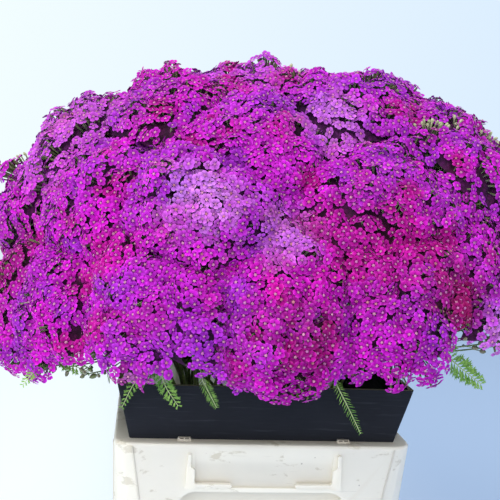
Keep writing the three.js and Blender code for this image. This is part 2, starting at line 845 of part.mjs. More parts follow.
// A feathery leaf: a flat rib along a curve, bare at first and then with pointed leaflets cut to it on both sides
function leafFrond(points, facing) {
  const curve = new THREE.CatmullRomCurve3(points, false, 'centripetal');
  const last = frond.bare + frond.leaflets;
  const shareAt = (k) => (k < frond.bare
    ? (k / frond.bare) * frond.bareShare
    : frond.bareShare + ((k - frond.bare) / frond.leaflets) * (1 - frond.bareShare));
  const vertices = [];
  const triangles = [];
  for (let k = 0; k <= last; k += 1) {
    const centre = curve.getPoint(shareAt(k));
    const along = curve.getTangent(shareAt(k));
    const across = along.clone().cross(facing).normalize();
    const out = across.clone().cross(along).normalize();
    const half = frond.ribHalf * (1 - frond.ribTaper * (k / last));
    for (const side of [-1, 1]) {
      for (const face of [-1, 1]) {
        vertices.push(centre.clone().addScaledVector(across, side * half)
          .addScaledVector(out, face * frond.thickness / 2));
      }
    }
  }
  const rib = (k, side, face) => k * 4 + side * 2 + face;
  for (let k = 0; k < last; k += 1) {
    const share = shareAt(k + 0.5);
    const centre = curve.getPoint(share);
    const along = curve.getTangent(share);
    const across = along.clone().cross(facing).normalize();
    const grown = (k + 0.5 - frond.bare) / frond.leaflets;
    const length = frond.leafletLength * leafletShare(grown) + frond.leafletLeast;
    for (const side of [0, 1]) {
      let wall = [
        [rib(k, side, 0), rib(k, side, 1), rib(k + 1, side, 1)],
        [rib(k, side, 0), rib(k + 1, side, 1), rib(k + 1, side, 0)],
      ];
      if (k >= frond.bare) {
        const tip = vertices.length;
        vertices.push(centre.clone()
          .addScaledVector(across, (side * 2 - 1) * length)
          .addScaledVector(along, length * frond.leafletSweep));
        wall = [
          [rib(k, side, 1), rib(k + 1, side, 1), tip],
          [rib(k + 1, side, 0), rib(k, side, 0), tip],
          [rib(k, side, 0), rib(k, side, 1), tip],
          [rib(k + 1, side, 1), rib(k + 1, side, 0), tip],
        ];
      }
      triangles.push(...(side === 0 ? wall : wall.map(([a, b, c]) => [b, a, c])));
    }
    triangles.push(
      [rib(k, 0, 1), rib(k, 1, 1), rib(k + 1, 1, 1)],
      [rib(k, 0, 1), rib(k + 1, 1, 1), rib(k + 1, 0, 1)],
      [rib(k, 1, 0), rib(k, 0, 0), rib(k + 1, 0, 0)],
      [rib(k, 1, 0), rib(k + 1, 0, 0), rib(k + 1, 1, 0)],
    );
  }
  triangles.push(
    [rib(0, 0, 0), rib(0, 1, 0), rib(0, 1, 1)],
    [rib(0, 0, 0), rib(0, 1, 1), rib(0, 0, 1)],
    [rib(last, 0, 0), rib(last, 0, 1), rib(last, 1, 1)],
    [rib(last, 0, 0), rib(last, 1, 1), rib(last, 1, 0)],
  );
  return indexed(vertices, triangles);
}

// Leaves hang down beside the lowest heads, but not in the middle of a short side
function hasFrond({ direction, mouth }) {
  const lowest = Math.cos(lowestAngle(direction));
  return direction.z < lowest + frond.nearLowest && Math.abs(mouth.x) > frond.offMiddle;
}

// A leaf that grows from an outer stem at the mouth, passes over the collar's edge and hangs down outside it
function hangingFrond(head) {
  const { mouth } = head;
  const nearX = Math.abs(mouth.x) / stem.mouthX > Math.abs(mouth.y) / stem.mouthY;
  const out = nearX ? new THREE.Vector3(Math.sign(mouth.x), 0, 0) : new THREE.Vector3(0, Math.sign(mouth.y), 0);
  const sideways = new THREE.Vector3(0, 0, 1).cross(out);
  const edge = (nearX ? container.width : container.length) / 2 - collar.ledgeShown + collar.flare;
  const collarTop = container.height + collar.height;
  const start = new THREE.Vector3(mouth.x, mouth.y, container.height + stem.spreadAt - 1);
  const over = start.clone()
    .addScaledVector(out, edge + frond.clear - start.dot(out))
    .addScaledVector(sideways, frond.shift);
  over.z = collarTop + frond.overCollar;
  const droop = THREE.MathUtils.lerp(frond.shortest, frond.longest, random());
  const end = over.clone().addScaledVector(sideways, droop * frond.lean).addScaledVector(out, frond.belly);
  end.z -= droop;
  const middle = start.clone().lerp(over, frond.archAt);
  middle.z = collarTop + frond.arch;
  const hanging = over.clone().lerp(end, 0.5).addScaledVector(out, frond.belly);
  return leafFrond([start, middle, over, hanging, end], out);
}

// Stems held close together stand as one fluted rod between two heights
function gatheredStems(place, from, to) {
  const { radius, waist, sides, flute } = bunch;
  return loft([circleLoop(place, from, radius, sides, flute), circleLoop(place, to, radius * waist, sides, flute)]);
}

// The upper part of a bunch: gathered at first, and then one stem for each head
function stemBunch({ place, members }, placed) {
  const pieces = [gatheredStems(place, bunch.splitHeight + bunch.splitGap, bunch.tieHeight)];
  for (const head of members) {
    pieces.push(rod(stemPoints(head, place), stem.thick, stem.thin, stem.sides));
    pieces.push(...headRays(head, neighbours(head, placed)));
    if (hasFrond(head)) {
      pieces.push(hangingFrond(head));
    }
  }
  return toGeometry(joinAll(pieces));
}

// Assembly

const group = new THREE.Group();

function addPiece(name, geometry, colour, roughness) {
  geometry.computeVertexNormals();
  const material = new THREE.MeshStandardMaterial({ color: colour, roughness, metalness: 0, flatShading: true });
  const mesh = new THREE.Mesh(geometry, material);
  mesh.name = name;
  group.add(mesh);
}

addPiece('container', containerBody(), colours.plastic, 0.45);
addPiece('collar', collarRing(), colours.cardboard, 0.8);
addPiece('water', waterBody(), colours.water, 0.05);

const placed = placeHeads();

placed.forEach((head, k) => {
  const colour = colours.petals[Math.floor(random() * colours.petals.length)];
  const name = `flower_head_${String(k + 1).padStart(2, '0')}`;
  addPiece(name, flowerHead(head, neighbours(head, placed)), colour, 0.7);
});

shareHeads(placed).forEach((share, k) => {
  const foot = gatheredStems(share.place, container.floor + stem.seatGap, bunch.splitHeight);
  addPiece(`stem_foot_${k + 1}`, foot, colours.green, 0.65);
  addPiece(`stem_bunch_${k + 1}`, stemBunch(share, placed), colours.green, 0.65);
});

export default group;
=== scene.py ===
# Cut yarrow in a flower trader's container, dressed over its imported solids.
# Every flower head and bunch of stems gets a finer piece on the solid's own form, and the
# container, its collar and the water get their real surfaces.
# Metres, +Z up. The origin is under the middle of the container, and -Y is the side in front.

import math

import bmesh
import bpy
import numpy as np
from mathutils import Matrix, Vector, noise


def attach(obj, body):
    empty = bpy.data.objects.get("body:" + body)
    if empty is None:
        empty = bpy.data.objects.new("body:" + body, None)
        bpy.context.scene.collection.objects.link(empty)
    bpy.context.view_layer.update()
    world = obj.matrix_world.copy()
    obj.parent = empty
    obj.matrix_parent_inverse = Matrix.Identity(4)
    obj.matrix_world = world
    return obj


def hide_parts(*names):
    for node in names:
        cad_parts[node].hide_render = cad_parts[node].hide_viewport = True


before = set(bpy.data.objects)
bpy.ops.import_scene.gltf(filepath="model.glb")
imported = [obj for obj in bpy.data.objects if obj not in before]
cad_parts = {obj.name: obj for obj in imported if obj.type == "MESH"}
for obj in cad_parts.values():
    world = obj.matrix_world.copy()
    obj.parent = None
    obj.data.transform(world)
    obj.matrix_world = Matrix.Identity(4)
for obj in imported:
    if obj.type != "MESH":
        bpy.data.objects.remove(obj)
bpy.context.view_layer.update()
rng = np.random.default_rng(seed=417)
tau = 2 * math.pi
up = np.array([0.0, 0.0, 1.0])
print("yarrow: frame loaded with", len(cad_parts), "solids")


def toLinear(hexColour):
    values = [int(hexColour[k:k + 2], 16) / 255 for k in (1, 3, 5)]
    return [v / 12.92 if v <= 0.04045 else ((v + 0.055) / 1.055) ** 2.4 for v in values] + [1.0]


# Inputs of a node: a node or a socket is linked, a hex colour turns to linear, and anything else is a value
def feed(node, inputs):
    for name, value in inputs.items():
        if isinstance(value, bpy.types.Node):
            value = next(socket for socket in value.outputs if socket.enabled)
        if isinstance(value, bpy.types.NodeSocket):
            node.id_data.links.new(value, node.inputs[name])
        else:
            node.inputs[name].default_value = toLinear(value) if isinstance(value, str) else value


# One node with its settings and its inputs
def add(tree, kind, inputs=None, **settings):
    node = tree.nodes.new("ShaderNode" + kind)
    for name, value in settings.items():
        setattr(node, name, value)
    feed(node, inputs or {})
    return node


# A new material, and where on the object its patterns are
def newMaterial(name, **fixed):
    material = bpy.data.materials.new(name)
    material.use_nodes = True
    tree = material.node_tree
    shader = tree.nodes["Principled BSDF"]
    feed(shader, {socket.replace("_", " "): value for socket, value in fixed.items()})
    return material, tree, shader, add(tree, "TexCoord").outputs["Object"]


# Goes from one colour to another while a value goes from low to high: start and end are shares of the second
def blended(tree, value, low, high, first, second, start=0.0, end=1.0, **settings):
    share = add(tree, "MapRange", {"Value": value, "From Min": low, "From Max": high, "To Min": start,
                "To Max": end}, **settings)
    return add(tree, "Mix", {"Factor": share, "A": first, "B": second}, data_type="RGBA")


# A surface clouded between two colours, with the cloud in its relief too where it has a strength and a depth
def mottled(name, deep, pale, cloud, detail, relief=None, **fixed):
    material, tree, shader, where = newMaterial(name, **fixed)
    drift = add(tree, "TexNoise", {"Vector": where, "Scale": 1 / cloud, "Detail": detail})
    feed(shader, {"Base Color": add(tree, "Mix", {"Factor": drift, "A": deep, "B": pale}, data_type="RGBA")})
    if relief:
        strength, depth = relief
        bump = add(tree, "Bump", {"Height": drift, "Strength": strength, "Distance": depth})
        feed(shader, {"Normal": bump})
    return material


def newPiece(name, points, faces, materials, faceSlots=None, replaces=(), slot=None, **attributes):
    mesh = bpy.data.meshes.new(name)
    mesh.from_pydata(points, [], faces)
    for material in materials:
        mesh.materials.append(material)
    if faceSlots is not None:
        mesh.polygons.foreach_set("material_index", np.asarray(faceSlots, np.int32))
    for key, values in attributes.items():
        values = np.asarray(values, np.float32)
        kind, field = ("FLOAT_COLOR", "color") if values.ndim == 2 else ("FLOAT", "value")
        mesh.attributes.new(key, kind, "POINT").data.foreach_set(field, values.ravel())
    mesh.shade_smooth()
    piece = bpy.data.objects.new(name, mesh)
    bpy.context.scene.collection.objects.link(piece)
    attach(piece, "root")
    if replaces:
        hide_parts(*replaces)
    return piece


def unit(vectors):
    return vectors / np.maximum(np.linalg.norm(vectors, axis=-1, keepdims=True), 1e-12)


# Two directions square to each given one, turned by an angle about it
def across(normals, turns):
    helper = np.where(np.abs(normals[:, 2:3]) < 0.9, up, np.array([1.0, 0, 0]))
    first = unit(np.cross(helper, normals))
    second = np.cross(normals, first)
    c, s = np.cos(turns)[:, None], np.sin(turns)[:, None]
    return c * first + s * second, c * second - s * first


# A smooth line through the given points
def route(points, count):
    points = np.asarray(points, float)
    line = np.concatenate([[2 * points[0] - points[1]], points, [2 * points[-1] - points[-2]]])
    steps = np.linspace(0, len(points) - 1 - 1e-9, count)
    k = steps.astype(int)
    t = (steps - k)[:, None]
    a, b, c, d = line[k], line[k + 1], line[k + 2], line[k + 3]
    return 0.5 * (2 * b + (c - a) * t + (2 * a - 5 * b + 4 * c - d) * t ** 2
                  + (3 * b - a - 3 * c + d) * t ** 3)


# A round tube along a line, as (points, four-sided faces)
def tube(line, radii, sides, ridge=0.0):
    line = np.asarray(line, float)
    radii = np.broadcast_to(radii, len(line))
    along = unit(np.gradient(line, axis=0))
    side = unit(np.cross(along[0], [0.31, 0.95, 0.05]))
    rings = []
    angles = np.arange(sides) / sides * tau
    bumps = 1 - ridge * (np.arange(sides) % 2)
    for centre, forward, radius in zip(line, along, radii):
        side = unit(side - forward * np.dot(side, forward))
        other = np.cross(forward, side)
        rings.append(centre + radius * bumps[:, None]
                     * (np.cos(angles)[:, None] * side + np.sin(angles)[:, None] * other))
    k = np.arange(sides)
    faces = [np.stack([r * sides + k, r * sides + (k + 1) % sides,
                       (r + 1) * sides + (k + 1) % sides, (r + 1) * sides + k], 1)
             for r in range(len(line) - 1)]
    return np.concatenate(rings), np.concatenate(faces)


# Gathers points and faces of several shapes into one mesh
class Gather:
    def __init__(self):
        self.points, self.faces, self.slots, self.values, self.count = [], [], [], {}, 0

    def put(self, points, faces, slot=0, **values):
        points = np.asarray(points, float).reshape(-1, 3)
        self.points.append(points)
        self.faces += (np.asarray(faces) + self.count).tolist()
        self.slots.append(np.broadcast_to(np.asarray(slot, np.int32), len(faces)))
        for key, value in values.items():
            value = np.asarray(value, float)
            wanted = (len(points),) + value.shape[-1:] * (key == "shade")
            self.values.setdefault(key, []).append(np.broadcast_to(value, wanted))
        self.count += len(points)

    def make(self, name, materials, **rest):
        values = {key: np.concatenate(parts) for key, parts in self.values.items()}
        return newPiece(name, np.concatenate(self.points), self.faces, materials,
                        np.concatenate(self.slots), **rest, **values)


# Camera, at the photograph's viewing angle

camera = dict(place=(-0.120, -0.990, 0.615), yaw=6.8, pitch=5.3, roll=3.0, focal=64.8, sensor=36, farthest=60)


def makeCamera():
    yaw, pitch, roll = (math.radians(camera[k]) for k in ("yaw", "pitch", "roll"))
    level = math.cos(pitch)
    forward = np.array([math.sin(yaw) * level, math.cos(yaw) * level, -math.sin(pitch)])
    right = np.array([math.cos(yaw), -math.sin(yaw), 0])
    above = np.cross(right, forward)
    turned = math.cos(roll) * right + math.sin(roll) * above
    above = -math.sin(roll) * right + math.cos(roll) * above
    data = bpy.data.cameras.new("photoCamera")
    data.lens = camera["focal"]
    data.sensor_width = camera["sensor"]
    data.clip_end = camera["farthest"]
    seen = bpy.data.objects.new("photoCamera", data)
    turn = Matrix([turned, above, -forward]).transposed().to_4x4()
    seen.matrix_world = Matrix.Translation(camera["place"]) @ turn
    bpy.context.scene.collection.objects.link(seen)
    bpy.context.scene.camera = seen


# Studio: pale floor with painted shade towards the right, bright backdrop and soft light

studio = dict(
    # the floor's colour darkens from left to right across its span: painted shade
    floorLeft="#eaf3fb", floorShadedRight="#9fb7d8", floorSpan=(-0.35, 0.55), floorHalf=9.0,
    backdropLeft="#f4ffff", backdropRight="#d9ecff", backdropSpan=(-0.2, 0.45),
    frontSide="#e6e8ea", frontSpan=(-0.3, 0.5), skyward="#ffffff", skySpan=(0.45, 1.0), aim=(0, 0, 0.45),
    lamps=[
        dict(name="key", place=(-1.7, -1.5, 2.3), size=1.3, power=27, colour="#fffaf2"),
        dict(name="front", place=(-0.4, -2.5, 1.36), size=0.9, power=20, colour="#fff6ea"),
        dict(name="rim", place=(0.6, 1.4, 2.2), size=1.4, power=8, colour="#ffffff"),
    ],
)


def makeStudio():
    material, tree, shader, where = newMaterial("paintedStudioFloor", Roughness=0.9)
    # painted shade: the floor gets darker and bluer towards the right
    sideways = add(tree, "SeparateXYZ", {"Vector": where}).outputs["X"]
    feed(shader, {"Base Color": blended(tree, sideways, *studio["floorSpan"], studio["floorLeft"],
                                        studio["floorShadedRight"], interpolation_type="SMOOTHSTEP")})
    half = studio["floorHalf"]
    corners = [(-half, -half, 0), (half, -half, 0), (half, half, 0), (-half, half, 0)]
    mesh = bpy.data.meshes.new("studioFloor")
    mesh.from_pydata(corners, [], [(0, 1, 2, 3)])
    mesh.materials.append(material)
    floor = bpy.data.objects.new("studioFloor", mesh)
    bpy.context.scene.collection.objects.link(floor)

    world = bpy.data.worlds.new("studio")
    bpy.context.scene.world = world
    world.use_nodes = True
    tree = world.node_tree
    way = add(tree, "SeparateXYZ", {"Vector": add(tree, "TexCoord").outputs["Generated"]}).outputs
    backdrop = blended(tree, way["X"], *studio["backdropSpan"], studio["backdropLeft"],
                       studio["backdropRight"])
    around = blended(tree, way["Y"], *studio["frontSpan"], studio["frontSide"], backdrop)
    sky = blended(tree, way["Z"], *studio["skySpan"], around, studio["skyward"])
    feed(tree.nodes["Background"], {"Color": sky})

    for lamp in studio["lamps"]:
        data = bpy.data.lights.new(lamp["name"] + "Light", "AREA")
        data.size = lamp["size"]
        data.energy = lamp["power"]
        data.color = toLinear(lamp["colour"])[:3]
        light = bpy.data.objects.new(lamp["name"] + "Light", data)
        light.location = lamp["place"]
        aim = Vector(studio["aim"]) - Vector(lamp["place"])
        light.rotation_euler = aim.to_track_quat("-Z", "Y").to_euler()
        bpy.context.scene.collection.objects.link(light)
    bpy.context.scene.view_settings.view_transform = "Standard"
    print("yarrow: camera and studio")


# Living materials

# Petal skin: soft ray florets with a faint velvet sheen, darker at the throat with partly painted shade and
# paler at the rim with a partly painted highlight
def petalSkin():
    material, tree, shader, where = newMaterial("yarrowPetal", Roughness=0.6, IOR=1.4,
                                                Specular_IOR_Level=0.08, Sheen_Weight=0.06,
                                                Sheen_Roughness=0.45, Sheen_Tint="#f0b8ff")
    shade = add(tree, "Attribute", attribute_name="shade")
    along = add(tree, "Attribute", attribute_name="along").outputs["Fac"]
    blotch = add(tree, "TexNoise", {"Vector": where, "Scale": 1 / 0.004, "Detail": 3.0})
    # darker towards the throat: partly the petal's own tone, partly painted shade deep in the flower
    level = add(tree, "MapRange", {"Value": along, "To Min": 0.6, "To Max": 1.15})
    worn = add(tree, "MapRange", {"Value": blotch, "From Min": 0.3, "From Max": 0.7, "To Min": 0.8,
               "To Max": 1.16})
    both = add(tree, "Math", {0: level, 1: worn}, operation="MULTIPLY")
    lit = add(tree, "VectorMath", {0: shade, "Scale": both}, operation="SCALE")
    veins = add(tree, "TexNoise", {"Vector": where, "Scale": 1 / 0.0008, "Detail": 2.0})
    bump = add(tree, "Bump", {"Height": veins, "Strength": 0.25, "Distance": 0.0002})
    # the paler rim is partly the petal's own tone and partly a painted highlight
    feed(shader, {"Base Color": blended(tree, along, 0.65, 1.0, lit, "#f2d2f6", end=0.05), "Normal": bump})
    return material


# Florets that show as small cells in their own colour, darkened where the cells meet as painted shade between
# them
cells = dict(
    # tiny tube florets of a disc: pale, matt and grainy, like a crumb of pollen
    yarrowDisc=dict(rough=0.8, width=0.0007, farthest=0.7, middle=1.15, edge=0.6, strength=0.6, depth=0.0004),
    # florets crowded under the open ones, darkened as painted shade so that gaps read as depth: soft and
    # uneven
    shadedCrowdedFlorets=dict(rough=0.85, width=0.004, farthest=0.8, middle=1.3, edge=0.35, strength=0.8,
                        depth=0.002),
)


def cellFlorets(name):
    spec = cells[name]
    material, tree, shader, where = newMaterial(name, Roughness=spec["rough"], IOR=1.4)
    shade = add(tree, "Attribute", attribute_name="shade")
    cell = add(tree, "TexVoronoi", {"Vector": where, "Scale": 1 / spec["width"]})
    # painted shade: each cell darkens from its middle to its edge, where the florets meet
    level = add(tree, "MapRange", {"Value": cell, "From Max": spec["farthest"], "To Min": spec["middle"],
                "To Max": spec["edge"]})
    lit = add(tree, "VectorMath", {0: shade, "Scale": level}, operation="SCALE")
    bump = add(tree, "Bump", {"Height": cell, "Strength": spec["strength"], "Distance": spec["depth"]},
               invert=True)
    feed(shader, {"Base Color": lit, "Normal": bump})
    return material


# Green growth: waxy and ribbed with fine grey hairs that take the shine off
def greenGrowth(name, deep, pale, grain):
    material, tree, shader, where = newMaterial(name, Roughness=0.6, IOR=1.42, Sheen_Weight=0.25)
    drift = add(tree, "TexNoise", {"Vector": where, "Scale": 1 / 0.03, "Detail": 4.0})
    fine = add(tree, "TexNoise", {"Vector": where, "Scale": 1 / grain, "Detail": 2.0})
    both = add(tree, "Math", {0: drift, 1: fine}, operation="ADD")
    bump = add(tree, "Bump", {"Height": fine, "Strength": 0.4, "Distance": 0.0004})
    feed(shader, {"Base Color": blended(tree, both, 0.75, 1.25, deep, pale), "Normal": bump})
    return material


# Flower heads

# Materials of a head's piece, in the order of its slots
headSlots = dict(petal=0, disc=1, stalk=2, crowded=3, closed=4)

# One tiny daisy of the head, with its petals' outline along and across. Real ones are 9 to 12 mm across here
capitulum = dict(apart=0.0048, radius=0.0049, petals=5, petalHalf=0.47, cupping=0.32, arch=0.16,
                 stacked=0.0002, petalMiddle=(0.62, 0.0),
                 petalEdge=[(0.16, 0.0), (0.62, -1.0), (0.97, -0.5), (0.97, 0.5), (0.62, 1.0)],
                 turns=(-0.07, 0.07), lengths=(0.88, 1.08), widths=(0.92, 1.1), droops=(-0.04, 0.22),
                 leans=(-0.14, 0.14), cups=(0.0, 0.0, 0.12, 0.3), throat=0.2, throatToRim=0.75,
                 discRadius=0.00125, discHeight=0.0014, discSides=6, discTops=(1.1, 1.6),
                 stalkRadius=0.0012, stalkSides=3, stalkTop=-0.0002, stalkFoot=-0.012, variants=12,
                 lift=0.0008)

# A capitulum that is still closed: height and radius of each ring of its egg
closedCapitulum = dict(sides=5, rings=[(0.0, 0.0009), (0.0014, 0.0016), (0.0031, 0.0013), (0.0040, 0.0005)])

# Colours of the petals in daylight, and one darker magenta that is painted shade
shades = dict(magenta="#c814c6", orchid="#bc2dd0", violet="#9c26c2", softLilac="#c676e6", paleLilac="#d393f3",
              mauve="#cc86dc", cerise="#b80a92", crimson="#95065a", shadedMagenta="#a40c9c")

# Chance of each plant's own shade, and of each shade of the discs
plants = dict(magenta=0.3, orchid=0.22, violet=0.18, softLilac=0.12, cerise=0.18)
discs = [("#e8a0c8", 0.45), ("#dc84cc", 0.43), ("#d88a98", 0.12)]

# How the shades drift over the heads: two waves of noise, the plant's own share and each capitulum's chance
drifting = dict(wave=22, level=0.45, contrast=2.2, own=0.28, crossWave=38, crossShift=(7, 3, 5),
                crossContrast=2.8, violetFrom=0.4, ceriseFrom=0.45, most=0.9, ragged=0.35, chance=0.25,
                core=1.6, fall=1.1, bright=0.13)


# Where a plant of another shade stands in the bunch: shade, middle of the patch, its radius, how pure
patches = [
    ("paleLilac", (-0.076, -0.27, 0.584), 0.030, 0.75),
    ("softLilac", (-0.004, -0.279, 0.563), 0.024, 0.65),
    ("softLilac", (0.039, -0.214, 0.66), 0.030, 0.7),
    ("softLilac", (-0.19, -0.12, 0.635), 0.06, 0.45),
    ("violet", (-0.095, -0.29, 0.500), 0.040, 0.4),
    ("violet", (0.08, -0.29, 0.505), 0.036, 0.85),
    ("violet", (-0.22, -0.19, 0.51), 0.03, 0.6),
    ("crimson", (0.13, -0.285, 0.522), 0.032, 0.85),
    ("crimson", (0.147, -0.285, 0.503), 0.020, 0.95),
    ("cerise", (0.075, -0.286, 0.556), 0.045, 0.85),
    # painted shade: these three patches darken the lowest flowers in front to a deeper magenta
    ("shadedMagenta", (0.003, -0.297, 0.460), 0.030, 0.7),
    ("shadedMagenta", (0.055, -0.295, 0.480), 0.030, 0.6),
    ("shadedMagenta", (0.095, -0.290, 0.462), 0.030, 0.6),
    ("mauve", (0.178, -0.262, 0.488), 0.022, 0.95),
    ("paleLilac", (-0.127, -0.282, 0.443), 0.007, 0.9),
    ("cerise", (0.20, -0.14, 0.59), 0.085, 0.75),
    ("cerise", (0.24, 0.03, 0.57), 0.07, 0.7),
    ("crimson", (-0.24, -0.15, 0.52), 0.03, 0.6),
    ("cerise", (-0.157, -0.245, 0.534), 0.022, 0.85),
    ("crimson", (0.012, -0.303, 0.487), 0.024, 0.8),
    ("cerise", (0.030, -0.275, 0.575), 0.022, 0.6),
    ("magenta", (-0.10, -0.278, 0.545), 0.040, 0.6),
    ("crimson", (-0.13, -0.285, 0.427), 0.024, 0.7),
    ("magenta", (0.075, -0.297, 0.468), 0.035, 0.6),
    ("crimson", (0.12, 0.22, 0.56), 0.05, 0.7),
    ("paleLilac", (-0.10, 0.21, 0.60), 0.05, 0.8),
    ("violet", (0.22, 0.12, 0.52), 0.06, 0.7),
    ("softLilac", (-0.23, 0.07, 0.52), 0.05, 0.7),
]

# Where the capitula are still closed: middle and radius
unopened = [((-0.225, -0.060, 0.605), 0.018), ((0.113, -0.130, 0.700), 0.014),
            ((0.128, -0.208, 0.660), 0.011), ((0.150, -0.200, 0.661), 0.010),
            ((0.188, -0.194, 0.645), 0.012), ((-0.086, -0.076, 0.696), 0.009),
            ((0.017, -0.123, 0.709), 0.008), ((0.05, 0.20, 0.63), 0.014), ((-0.21, 0.08, 0.58), 0.012),
            ((0.24, 0.10, 0.53), 0.011)]

domeCentre = np.array([0, 0, 0.470])


# Shade of each capitulum: the plant's own, drifting within the head, then the patches, then its own chance
def shadeAt(places, plant):
    spec = drifting
    colours = {key: np.array(toLinear(value)[:3]) for key, value in shades.items()}
    drift = np.array([noise.noise(Vector(p) * spec["wave"]) for p in places])
    shift = Vector(spec["crossShift"])
    crossing = np.array([noise.noise(Vector(p) * spec["crossWave"] + shift) for p in places])

    def towards(result, shade, mix):
        return result * (1 - mix[:, None]) + colours[shade] * mix[:, None]

    result = towards(colours["magenta"], "orchid", np.clip(spec["level"] + spec["contrast"] * drift, 0, 1))
    result = result * (1 - spec["own"]) + colours[plant] * spec["own"]
    strong = spec["crossContrast"] * crossing
    result = towards(result, "violet", np.clip(strong - spec["violetFrom"], 0, spec["most"]))
    result = towards(result, "cerise", np.clip(-strong - spec["ceriseFrom"], 0, spec["most"]))
    for shade, middle, radius, purity in patches:
        away = np.linalg.norm(places - np.array(middle), axis=1) / radius
        ragged = away + spec["ragged"] * crossing + rng.uniform(-spec["chance"], spec["chance"], len(places))
        result = towards(result, shade, purity * np.clip(spec["core"] - spec["fall"] * ragged, 0, 1))
    bright = np.exp(rng.normal(0, spec["bright"], len(places)))[:, None]
    return np.clip(result * bright, 0, 1)


def ringPoints(radius, sides, height):
    angles = [tau * k / sides for k in range(sides)]
    return [(math.cos(angle) * radius, math.sin(angle) * radius, height) for angle in angles]


# A capitulum in its own axes, z out of the flower: points, triangles, material of each, along each petal
def capitulumShape(cup):
    spec = capitulum
    points, along, faces, slots = [], [], [], []
    turn = rng.uniform(0, tau)
    for k in range(spec["petals"]):
        angle = turn + tau * (k + rng.uniform(*spec["turns"])) / spec["petals"]
        length = spec["radius"] * rng.uniform(*spec["lengths"])
        half = spec["radius"] * spec["petalHalf"] * rng.uniform(*spec["widths"])
        droop = rng.uniform(*spec["droops"])
        lean = rng.uniform(*spec["leans"])
        c, s = math.cos(angle), math.sin(angle)
        start = len(points)
        for u, v in [spec["petalMiddle"]] + spec["petalEdge"]:
            x, y = u * length, v * half
            arch = spec["arch"] * math.sin(math.pi * u)
            z = spec["stacked"] * k + length * (arch - droop * u * u + cup * u * u)
            z += lean * y - spec["cupping"] * half * v * v
            points.append((x * c - y * s, x * s + y * c, z))
            along.append(min(1.0, max(0.0, (u - spec["throat"]) / spec["throatToRim"])))
        count = len(spec["petalEdge"])
        faces += [(start, start + 1 + j, start + 1 + (j + 1) % count) for j in range(count)]
        slots += [headSlots["petal"]] * count
    start, sides = len(points), spec["discSides"]
    points += ringPoints(spec["discRadius"], sides, spec["discHeight"] * 0.5)
    points.append((0, 0, spec["discHeight"] * rng.uniform(*spec["discTops"])))
    along += [spec["throat"]] * sides + [1.0]
    faces += [(start + k, start + (k + 1) % sides, start + sides) for k in range(sides)]
    slots += [headSlots["disc"]] * sides
    start, sides = len(points), spec["stalkSides"]
    points += ringPoints(spec["stalkRadius"], sides, spec["stalkTop"]) + [(0, 0, spec["stalkFoot"])]
    along += [0.5] * (sides + 1)
    faces += [(start + k, start + sides, start + (k + 1) % sides) for k in range(sides)]
    slots += [headSlots["stalk"]] * sides
    return np.array(points), np.array(faces), np.array(slots), np.array(along)


# A closed capitulum: a pale green egg on its stalk
def closedShape():
    sides, rings = closedCapitulum["sides"], closedCapitulum["rings"]
    points = [point for height, radius in rings for point in ringPoints(radius, sides, height)]
    faces = []
    for r in range(len(rings) - 1):
        for k in range(sides):
            a, b = r * sides + k, r * sides + (k + 1) % sides
            faces += [(a, b, b + sides), (a, b + sides, a + sides)]
    faces += [(k, len(points), (k + 1) % sides) for k in range(sides)]
    points.append((0, 0, capitulum["stalkFoot"]))
    slots = np.full(len(faces), headSlots["closed"])
    return np.array(points), np.array(faces), slots, np.full(len(points), 0.5)


corymb = dict(
    # reading a head's solid: its upper faces, the low points of its hub, and how near equal points are
    upperFrom=-0.15, hubPoints=6, weld=0.00005, draws=6,
    # sprays of the head, and their small domes
    sprayOf=18, fewest=3, rounds=6, sprayUneven=0.0019, tallShare=0.09, tallRise=(0.004, 0.010),
    sprayDome=0.0068, sprayLevel=0.55, sprayLeast=0.004, sprayLean=0.65, sprayTilt=0.12,
    # flowers that lean over the rim
    neighbours=0.19, overDraws=24, overReach=0.022, overFrom=0.0015, overFall=1.0, overStart=0.005,
    overAside=0.008, overOut=0.8,
    # the head as a whole
    rise=(-0.004, 0.005), headDome=0.007, headLevel=0.4, widest=1.3, headLean=0.22, pressedFrom=0.700,
    pressed=0.55, rimTilt=30, rimWidth=0.010, tilt=13, sizes=(0.86, 1.12), uneven=0.0009,
    closedEdge=(0.7, 1.2), hollowEdge=(0.02, 0.3), discBright=(0.8, 1.05),
    # small branches from the head's stem to its sprays
    sprayDepth=0.017, inwards=0.22, hubDepth=0.012, branchFrom=0.045, branchStarts=(0.0, 0.8),
    branchBend=0.55, branchSway=0.003, branchEnd=0.0015, branchRadius=0.0011, branchTip=0.65, branchSteps=4,
    branchSides=4, branchShade=(0.1, 0.15, 0.05, 1),
    # the crowded florets underneath, their dark tone painted shade
    sheetDepth=0.0065, sheetInset=0.004, sheetAboveHem=0.006, sheetPaintedShade=(0.15, 0.05, 0.14),
    hollowDepth=0.008, hollowPaintedShade=0.8,
)


